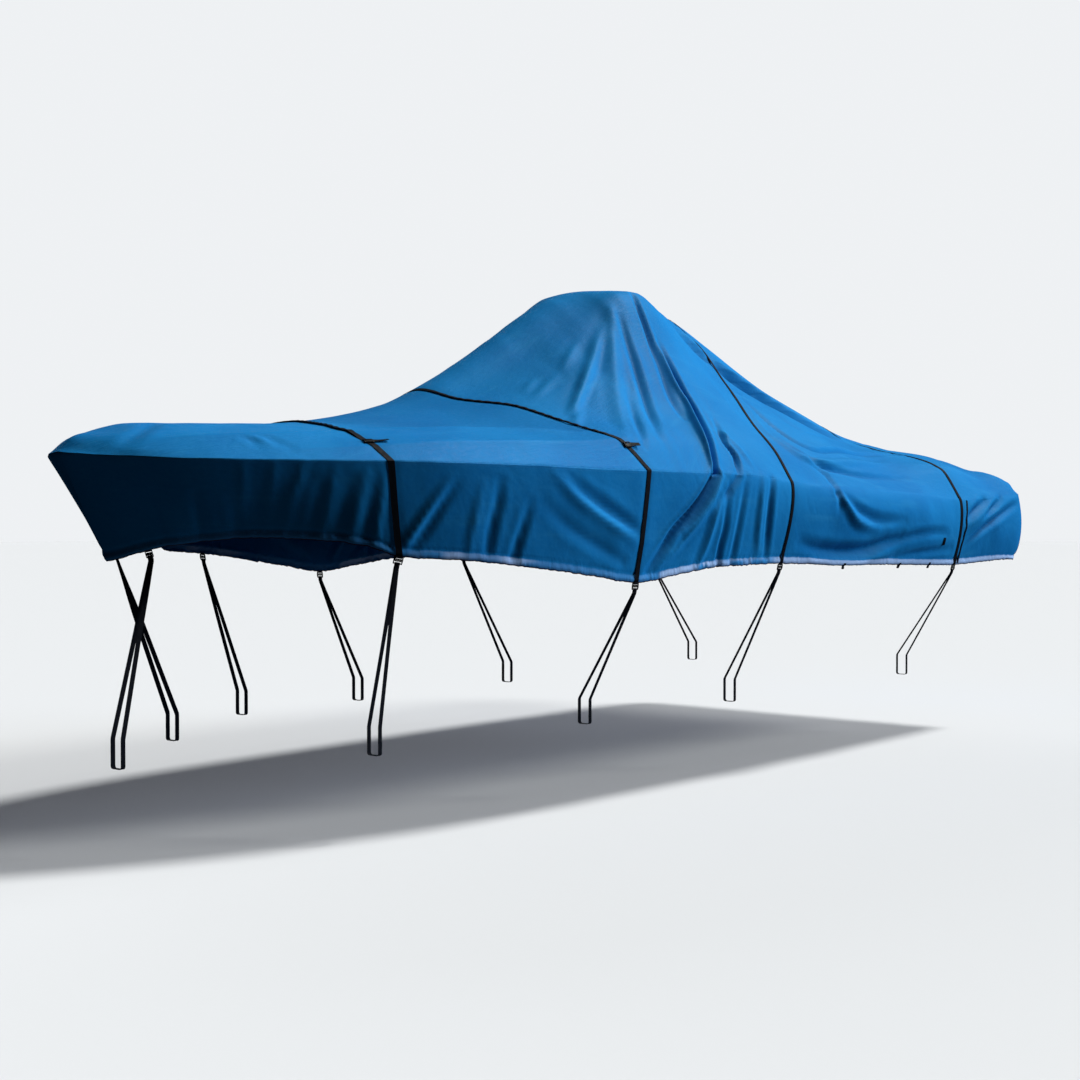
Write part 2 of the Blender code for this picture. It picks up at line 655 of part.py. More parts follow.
# Small webbing tabs folded over the hem, three aft on each side.
for side, tag in ((-1, "port"), (1, "starboard")):
    grid = skirts[side]
    for count, x_tab in enumerate(HEM_TABS):
        c = int(np.argmin(np.abs(0.5 * (grid[nose:-1, -1, 0] + grid[nose + 1:, -1, 0]) - x_tab)))
        c += nose
        foot = 0.5 * (grid[c, -1] + grid[c + 1, -1])
        above = 0.5 * (grid[c, -2] + grid[c + 1, -2])
        along, down = squared(grid[c + 1, -1] - grid[c, -1], foot - above)
        out = np.cross(along, down)
        if out[1] * side < 0:
            out = -out
        far = TAB_CLEAR + 0.5 * TAB_T
        near = -(CLOTH + TAB_CLEAR + 0.5 * TAB_T)
        r = 0.5 * (far - near)
        middle = 0.5 * (far + near)
        path = [foot + out * far - down * TAB_UP, foot + out * far]
        for a in range(0, 181, 30):
            a = math.radians(a)
            path.append(foot + out * (middle + r * math.cos(a))
                        + down * (TAB_DOWN - r + r * math.sin(a)))
        path += [foot + out * near, foot + out * near - down * TAB_UP]
        ribbon("hem_tab_%s_%d" % (tag, count + 1), path, [along] * len(path), TAB_W, TAB_T, black)

# Shoulder buckles on straps 1 and 2 with the webbing's free ends beside them.
for k, t0, t1, tail in SHOULDERS:
    row = strap_rows[k]
    j0, j1 = T_MESH.index(t0), T_MESH.index(t1)
    lift = offsets["top"]
    quad = [top[row, j0] + lift[row, j0] * (STRAP_LIFT + STRAP_T),
            top[row, j1] + lift[row, j1] * (STRAP_LIFT + STRAP_T),
            top[row + 1, j1] + lift[row + 1, j1] * (STRAP_LIFT + STRAP_T),
            top[row + 1, j0] + lift[row + 1, j0] * (STRAP_LIFT + STRAP_T)]
    centre = sum(quad) * 0.25
    along, down = squared(0.5 * (quad[2] + quad[3] - quad[0] - quad[1]),
                          0.5 * (quad[0] + quad[3] - quad[1] - quad[2]))
    up = np.cross(down, along)
    if up[2] < 0:
        up = -up
    centre = centre + up * (0.0010 + 0.5 * SHOULDER[2])
    block("shoulder_buckle_%d" % (k + 1), centre, along, down, SHOULDER, plastic, 0.002)
    root = centre + along * (0.5 * SHOULDER[0] + 3 * PIECE_GAP) + up * 0.001
    path = []
    for i in range(7):
        w = i / 6
        path.append(root + along * tail * w + up * 0.020 * w * w
                    + down * 0.010 * w * w)
    ribbon("strap_end_%d" % (k + 1), path, [down] * len(path), TIE_W, STRAP_T, black)

# Keeper sewn to the port skirt.
s0, v0, wide, tall, thick = KEEPER
c = nose + int(np.argmin(np.abs(skirts[-1][nose:, 0, 0] - s0)))
r = int(np.argmin(np.abs(np.array(V_MESH) - v0)))
a, b, d = skirts[-1][c, r], skirts[-1][c + 1, r + 1], skirts[-1][c, r + 1]
along, down = squared(b - d, d - a)
out = np.cross(along, down)
if out[1] > 0:
    out = -out
centre = (a + b + d) / 3 + out * (0.0022 + 0.5 * thick)
block("skirt_keeper", centre, along, down, (wide, tall, thick), black, 0.001)
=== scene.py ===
"""Looks of the fitted boat cover: cloth panels with their folds, webbing, buckles,
camera and light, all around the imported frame."""
import math

import bmesh
import bpy
import numpy as np
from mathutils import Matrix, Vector


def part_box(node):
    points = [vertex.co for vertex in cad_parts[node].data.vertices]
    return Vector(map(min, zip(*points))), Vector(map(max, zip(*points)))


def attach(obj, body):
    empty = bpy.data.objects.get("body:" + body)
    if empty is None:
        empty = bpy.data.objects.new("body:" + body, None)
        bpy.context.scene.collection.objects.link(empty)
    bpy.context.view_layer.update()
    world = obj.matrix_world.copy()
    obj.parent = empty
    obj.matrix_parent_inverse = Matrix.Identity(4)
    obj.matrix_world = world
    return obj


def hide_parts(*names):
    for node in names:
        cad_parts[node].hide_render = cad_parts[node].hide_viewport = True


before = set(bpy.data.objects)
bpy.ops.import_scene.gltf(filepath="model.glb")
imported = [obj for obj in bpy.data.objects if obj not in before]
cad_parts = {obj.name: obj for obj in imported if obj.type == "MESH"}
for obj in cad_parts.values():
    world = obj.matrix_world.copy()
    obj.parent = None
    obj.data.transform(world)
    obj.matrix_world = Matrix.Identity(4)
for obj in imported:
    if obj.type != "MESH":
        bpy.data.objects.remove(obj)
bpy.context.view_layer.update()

# ---------------------------------------------------------------- dimensions
# Working frame: x from the bow tip, y to starboard, z from the ground.  The part's
# own frame is this one less ORIGIN.
ORIGIN = np.array((3.80, 0.0, 2.785))
CLOTH = 0.0014                   # visible thickness of the sheet
STRAP_T = 0.0020
STRAP_LIFT = 0.0006
STRAP_W = 0.038
TIE_W, TIE_T = 0.025, 0.0022
BUCKLE = (0.046, 0.036, 0.012)
SHOULDER = (0.046, 0.034, 0.008)
BEAM_TOP, BEAM_FOOT, BEAM_W = 0.515, 0.385, 0.070
PIECE_GAP = 0.0004

T_COLS = np.array((0.0, 0.20, 0.45, 0.72, 0.90, 1.0))
SECTIONS = (
    # x,   half,  edge,  rail,  hip,   mid,   crown, ridge
    (0.03, 0.100, 1.757, 1.758, 1.760, 1.763, 1.766, 1.768),
    (0.07, 0.165, 1.748, 1.756, 1.772, 1.795, 1.815, 1.828),
    (0.20, 0.315, 1.740, 1.772, 1.806, 1.836, 1.849, 1.856),
    (0.36, 0.455, 1.732, 1.768, 1.828, 1.866, 1.886, 1.893),
    (0.60, 0.610, 1.730, 1.774, 1.848, 1.884, 1.900, 1.904),
    (1.10, 0.860, 1.729, 1.796, 1.866, 1.900, 1.913, 1.917),
    (1.50, 1.010, 1.727, 1.824, 1.874, 1.917, 1.938, 1.946),
    (2.10, 1.140, 1.714, 1.838, 1.893, 1.960, 2.020, 2.060),
    (2.40, 1.185, 1.706, 1.848, 1.918, 2.020, 2.100, 2.185),
    (2.75, 1.215, 1.703, 1.868, 1.962, 2.125, 2.245, 2.360),
    (3.10, 1.232, 1.700, 1.872, 2.020, 2.265, 2.430, 2.550),
    (3.45, 1.243, 1.698, 1.862, 2.040, 2.370, 2.630, 2.720),
    (3.72, 1.248, 1.688, 1.850, 2.040, 2.400, 2.768, 2.786),
    (3.90, 1.251, 1.670, 1.840, 2.030, 2.380, 2.785, 2.797),
    (4.10, 1.253, 1.655, 1.825, 2.005, 2.335, 2.715, 2.782),
    (4.30, 1.255, 1.645, 1.810, 1.980, 2.285, 2.630, 2.750),
    (4.60, 1.258, 1.634, 1.785, 1.950, 2.215, 2.515, 2.680),
    (4.90, 1.260, 1.622, 1.765, 1.920, 2.150, 2.385, 2.575),
    (5.60, 1.262, 1.595, 1.720, 1.830, 1.985, 2.165, 2.318),
    (6.20, 1.262, 1.563, 1.755, 1.835, 1.890, 2.010, 2.145),
    (6.70, 1.258, 1.560, 1.702, 1.776, 1.884, 1.925, 2.020),
    (7.05, 1.250, 1.557, 1.680, 1.725, 1.848, 1.900, 1.960),
)
HEM = (
    # x,   half,  z
    (0.27, 0.020, 1.276), (0.38, 0.140, 1.323), (0.49, 0.240, 1.353), (0.75, 0.460, 1.379),
    (1.01, 0.665, 1.363), (1.15, 0.765, 1.336), (1.29, 0.838, 1.287), (1.57, 0.943, 1.267),
    (1.88, 1.025, 1.235), (2.37, 1.116, 1.171), (2.72, 1.156, 1.127), (3.02, 1.177, 1.157),
    (3.43, 1.195, 1.189), (3.86, 1.207, 1.192), (4.64, 1.222, 1.167), (5.40, 1.225, 1.146),
    (6.16, 1.225, 1.126), (6.89, 1.217, 1.140), (7.20, 1.212, 1.122),
)
SKIRT = (
    # x_edge, x_hem, belly, belly_at
    (0.03, 0.310, 0.000, 0.50), (0.20, 0.410, 0.004, 0.50), (0.60, 0.720, 0.006, 0.50),
    (1.17, 1.280, 0.000, 0.50), (1.60, 1.670, 0.010, 0.50), (2.20, 2.210, 0.012, 0.45),
    (2.73, 2.690, 0.006, 0.45), (3.30, 3.260, 0.020, 0.40), (4.05, 4.000, 0.032, 0.35),
    (4.80, 4.780, 0.055, 0.35), (5.60, 5.590, 0.060, 0.40), (6.16, 6.130, 0.030, 0.40),
    (6.60, 6.600, 0.040, 0.45), (7.05, 7.080, 0.022, 0.50),
)
STEM_HEM = np.array((0.270, 0.0, 1.274))
STERN_BELLY = 0.060

# Lines across the boat: the four straps, and the tent's main fold, which the mesh
# rows follow as well.
G_COLS = (-1.0, -0.90, -0.72, -0.45, -0.20, 0.0, 0.45, 1.0)
STRAP_LINES = (
    # x at:  -1.0   -0.90  -0.72  -0.45  -0.20   0.0    0.45   1.0
    (1.17, 1.160, 1.155, 1.215, 1.325, 1.410, 1.490, 1.560),
    (2.73, 2.640, 2.550, 2.480, 2.350, 2.305, 2.480, 2.730),
    (4.05, 4.080, 4.200, 4.420, 4.525, 4.555, 4.430, 4.080),
    (6.16, 6.125, 6.205, 6.330, 6.405, 6.430, 6.340, 6.180),
)
MAIN_T = (-1.0, -0.93, -0.77, -0.59, -0.43, -0.27, 0.0, 0.27, 0.43, 0.59, 0.77, 0.93, 1.0)
MAIN_X = (3.31, 3.375, 3.53, 3.68, 3.84, 3.95, 4.00, 3.95, 3.84, 3.68, 3.53, 3.375, 3.31)

# Mesh density: cells between t values, rows between the lines, cells across a strap.
T_CELLS = ((-1.0, 14), (-0.90, 18), (-0.72, 20), (-0.45, 16), (-0.20, 10), (0.0, 7),
           (0.20, 8), (0.45, 9), (0.72, 7), (0.90, 5), (1.0, 0))
ROW_CELLS = (62, 58, 86, 50, 92, 40)
STRAP_CELLS = 3
V_CELLS = 40


# ---------------------------------------------------------------- curves
class Curve:
    """Monotone cubic through rows of values; x may be an array of any shape."""

    def __init__(self, xs, ys):
        self.x = np.asarray(xs, float)
        self.y = np.asarray(ys, float)
        if self.y.ndim == 1:
            self.y = self.y[:, None]
            self.flat = True
        else:
            self.flat = False
        self.h = np.diff(self.x)
        d = np.diff(self.y, axis=0) / self.h[:, None]
        self.m = tangents(self.h[:, None], d, 0)

    def __call__(self, x):
        x = np.asarray(x, float)
        i = np.clip(np.searchsorted(self.x, x, side="right") - 1, 0, len(self.h) - 1)
        hh = self.h[i][..., None]
        t = ((x - self.x[i]) / self.h[i])[..., None]
        out = ((1 + 2 * t) * (1 - t) ** 2 * self.y[i] + t * (1 - t) ** 2 * hh * self.m[i]
               + t * t * (3 - 2 * t) * self.y[i + 1] + t * t * (t - 1) * hh * self.m[i + 1])
        return out[..., 0] if self.flat else out


def tangents(h, d, axis):
    """Monotone tangents for spacings h and slopes d along an axis."""
    h = np.broadcast_to(h, d.shape)
    d = np.moveaxis(d, axis, 0)
    h = np.moveaxis(h, axis, 0)
    m = np.zeros((d.shape[0] + 1,) + d.shape[1:])
    w1, w2 = 2 * h[1:] + h[:-1], h[1:] + 2 * h[:-1]
    same = d[:-1] * d[1:] > 0
    a, b = np.where(same, d[:-1], 1.0), np.where(same, d[1:], 1.0)
    m[1:-1] = np.where(same, (w1 + w2) / (w1 / a + w2 / b), 0.0)
    m[0], m[-1] = d[0], d[-1]
    return np.moveaxis(m, 0, axis)


SECTION = Curve([r[0] for r in SECTIONS], [r[1:] for r in SECTIONS])
HEM_LINE = Curve([r[0] for r in HEM], [r[1:] for r in HEM])
SKIRT_LINE = Curve([r[0] for r in SKIRT], [r[1:] for r in SKIRT])


def ramp(x, a, b):
    """Smooth step from 0 at a to 1 at b."""
    t = np.clip((np.asarray(x, float) - a) / (b - a), 0.0, 1.0)
    return t * t * (3 - 2 * t)


def top_base(x, t):
    """Top sheet without folds: points for arrays of x and t."""
    x, t = np.broadcast_arrays(np.asarray(x, float), np.asarray(t, float))
    row = SECTION(np.maximum(x, SECTIONS[0][0]))
    y = row[..., :0:-1]                              # ridge .. edge
    h = np.diff(T_COLS)
    d = np.diff(y, axis=-1) / h
    m = tangents(h, d, -1)
    m[..., 0] = 0.0
    a = np.clip(np.abs(t), 0.0, 1.0)
    i = np.clip(np.searchsorted(T_COLS, a, side="right") - 1, 0, len(h) - 1)
    u = (a - T_COLS[i]) / h[i]
    y0 = np.take_along_axis(y, i[..., None], -1)[..., 0]
    y1 = np.take_along_axis(y, i[..., None] + 1, -1)[..., 0]
    m0 = np.take_along_axis(m, i[..., None], -1)[..., 0] * h[i]
    m1 = np.take_along_axis(m, i[..., None] + 1, -1)[..., 0] * h[i]
    smooth = ((1 + 2 * u) * (1 - u) ** 2 * y0 + u * (1 - u) ** 2 * m0
              + u * u * (3 - 2 * u) * y1 + u * u * (u - 1) * m1)
    flat = y0 + (y1 - y0) * u                        # straight between the rails
    f = ramp(x, 0.22, 0.42) * (1 - ramp(x, 2.35, 2.85)) * ramp(a, 0.40, 0.55)
    return np.stack([x, t * row[..., 0], smooth + (flat - smooth) * f], axis=-1)


def skirt_base(s, side, v):
    """Side skirt without folds under gunwale station s, fraction v of the way down."""
    s, side, v = np.broadcast_arrays(np.asarray(s, float), np.asarray(side, float),
                                     np.asarray(v, float))
    c = np.maximum(s, SECTIONS[0][0])
    row = SECTION(c)
    line = SKIRT_LINE(c)
    hem = HEM_LINE(line[..., 0])
    a = np.stack([s, side * row[..., 0], row[..., 1]], axis=-1)
    b = np.stack([line[..., 0], side * hem[..., 0], hem[..., 1]], axis=-1)
    p = a + (b - a) * v[..., None]
    lo = np.maximum(c - 0.02, 0.03)
    slope = (SECTION(c + 0.02)[..., 0] - SECTION(lo)[..., 0]) / (c + 0.02 - lo)
    n = np.stack([-slope, side, np.zeros_like(slope)], axis=-1) / np.hypot(slope, 1.0)[..., None]
    n[..., 0] += np.where(c > 6.9, 0.8 * (c - 6.9) / 0.15, 0.0)
    hump = np.sin(np.pi * v ** (np.log(0.5) / np.log(line[..., 2])))
    return p + n * (line[..., 1] * hump)[..., None]


def base(x, w):
    """Point of the cover for a station x and w: -2 port hem, -1 port gunwale, 0 ridge,
    1 starboard gunwale, 2 starboard hem."""
    x, w = np.broadcast_arrays(np.asarray(x, float), np.asarray(w, float))
    top = top_base(x, np.clip(w, -1, 1))
    side = skirt_base(x, np.where(w < 0, -1.0, 1.0), np.clip(np.abs(w) - 1, 0, 1))
    return np.where((np.abs(w) > 1)[..., None], side, top)


# ---------------------------------------------------------------- the panels' grids
def t_columns():
    out = []
    for (a, n), (b, _) in zip(T_CELLS[:-1], T_CELLS[1:]):
        out += list(np.linspace(a, b, n + 1)[:-1])
    return np.array(out + [1.0])


def v_rows():
    u = np.linspace(0.0, 1.0, V_CELLS + 1)
    return u - 0.09 * np.sin(2 * np.pi * u)          # closer at the seam and at the hem


def station_rows(ts):
    """Stations of every mesh row, and the first row of each strap's strip."""
    lines = [Curve(G_COLS, xs) for xs in STRAP_LINES]
    main = Curve(MAIN_T, MAIN_X)

    def half_width(line):
        w = 0.01
        a = top_base(line(np.clip(ts + w, -1, 1)), np.clip(ts + w, -1, 1))
        b = top_base(line(np.clip(ts - w, -1, 1)), np.clip(ts - w, -1, 1))
        along = a - b
        along /= np.linalg.norm(along, axis=-1, keepdims=True)
        across = (top_base(line(ts) + 0.01, ts) - top_base(line(ts) - 0.01, ts)) / 0.02
        return 0.5 * STRAP_W / np.linalg.norm(np.cross(across, along), axis=-1)

    pairs = []
    for k, line in enumerate(lines):
        dx = half_width(line)
        pairs.append((line(ts) - dx, line(ts) + dx, STRAP_CELLS))
        if k == 1:
            pairs.append((main(ts), main(ts), 0))
    pairs.append((np.full(len(ts), 7.05), None, 0))
    rows, strips = [0.03 * ts ** 2], []
    for k, ((left, right, inside), cells) in enumerate(zip(pairs, ROW_CELLS)):
        a = rows[-1]
        for i in range(1, cells):
            w = i / cells
            if k == 0:
                w = w ** 1.25
            elif k == 2:
                w = 1 - (1 - w) ** 1.3
            elif k == 3:
                w = w ** 1.3
            rows.append(a * (1 - w) + left * w)
        rows.append(left)
        if inside:
            strips.append(len(rows) - 1)
            for i in range(1, inside + 1):
                rows.append(left + (right - left) * i / inside)
    return np.array(rows), strips


def panel_grids():
    """Base grids of the four panels, sharing their seam points, with the strips' rows."""
    ts, vs = t_columns(), v_rows()
    X, strips = station_rows(ts)
    T = np.broadcast_to(ts, X.shape)
    top = top_base(X, T)
    top_w = np.stack([X, T], axis=-1)
    middle = int(np.argmin(np.abs(ts)))
    grids, params = {"top": top}, {"top": top_w}
    for name, side, col in (("port", -1, 0), ("starboard", 1, len(ts) - 1)):
        js = list(range(middle, col, -1 if side < 0 else 1))
        a = top[0, js]
        b = STEM_HEM + (skirt_base(0.0, side, 1.0) - STEM_HEM) * np.abs(ts[js])[:, None]
        nose = a[:, None] + (b - a)[:, None] * vs[None, :, None]
        s = X[:, col]
        body = skirt_base(s[:, None], side, vs[None, :])
        grids[name] = np.concatenate([nose, body])
        ns = np.concatenate([np.full(len(js), 0.0) - (1 - np.abs(ts[js])) * 0.09, s])
        params[name] = np.stack(np.broadcast_arrays(ns[:, None], side * (1 + vs[None, :])),
                                axis=-1)
    port, star = grids["port"][-1], grids["starboard"][-1]
    w = 0.5 * (ts + 1)[:, None]
    corner = port[None] * (1 - w[..., None]) + star[None] * w[..., None]
    lift = top[-1, :, 2] - (port[0, 2] * (1 - w[:, 0]) + star[0, 2] * w[:, 0])
    stern = corner.copy()
    stern[..., 2] += lift[:, None] * (1 - vs)[None]
    stern[..., 0] += STERN_BELLY * np.sin(np.pi * vs)[None] * (1 - ts[:, None] ** 2) * 0.6
    stern[:, 0] = top[-1]
    stern[0], stern[-1] = port, star
    grids["stern"] = stern
    params["stern"] = np.stack(np.broadcast_arrays(7.05 + vs[None] * 0.5, ts[:, None]), axis=-1)
    return grids, params, strips, middle, ts, vs


FLIP = {"top": False, "port": True, "starboard": False, "stern": True}


def weld(grids):
    """One list of points for all the panels, and each panel's indices into it."""
    names = list(grids)
    flat = np.concatenate([grids[n].reshape(-1, 3) for n in names])
    keys = np.round(flat * 2e4).astype(np.int64)
    _, first, inverse = np.unique(keys, axis=0, return_index=True, return_inverse=True)
    inverse = inverse.reshape(-1)
    index, at = {}, 0
    for n in names:
        size = grids[n].shape[0] * grids[n].shape[1]
        index[n] = inverse[at:at + size].reshape(grids[n].shape[:2])
        at += size
    return flat[first], index, first


def normals_of(points, index):
    """Unit normals pointing out of the cover, averaged across the seams."""
    out = np.zeros_like(points)
    for name, ids in index.items():
        a, b, c, d = ids[:-1, :-1], ids[1:, :-1], ids[1:, 1:], ids[:-1, 1:]
        f = np.cross(points[c] - points[a], points[d] - points[b])
        if FLIP[name]:
            f = -f
        for corner in (a, b, c, d):
            np.add.at(out, corner.reshape(-1), f.reshape(-1, 3))
    return out / np.maximum(np.linalg.norm(out, axis=1, keepdims=True), 1e-12)


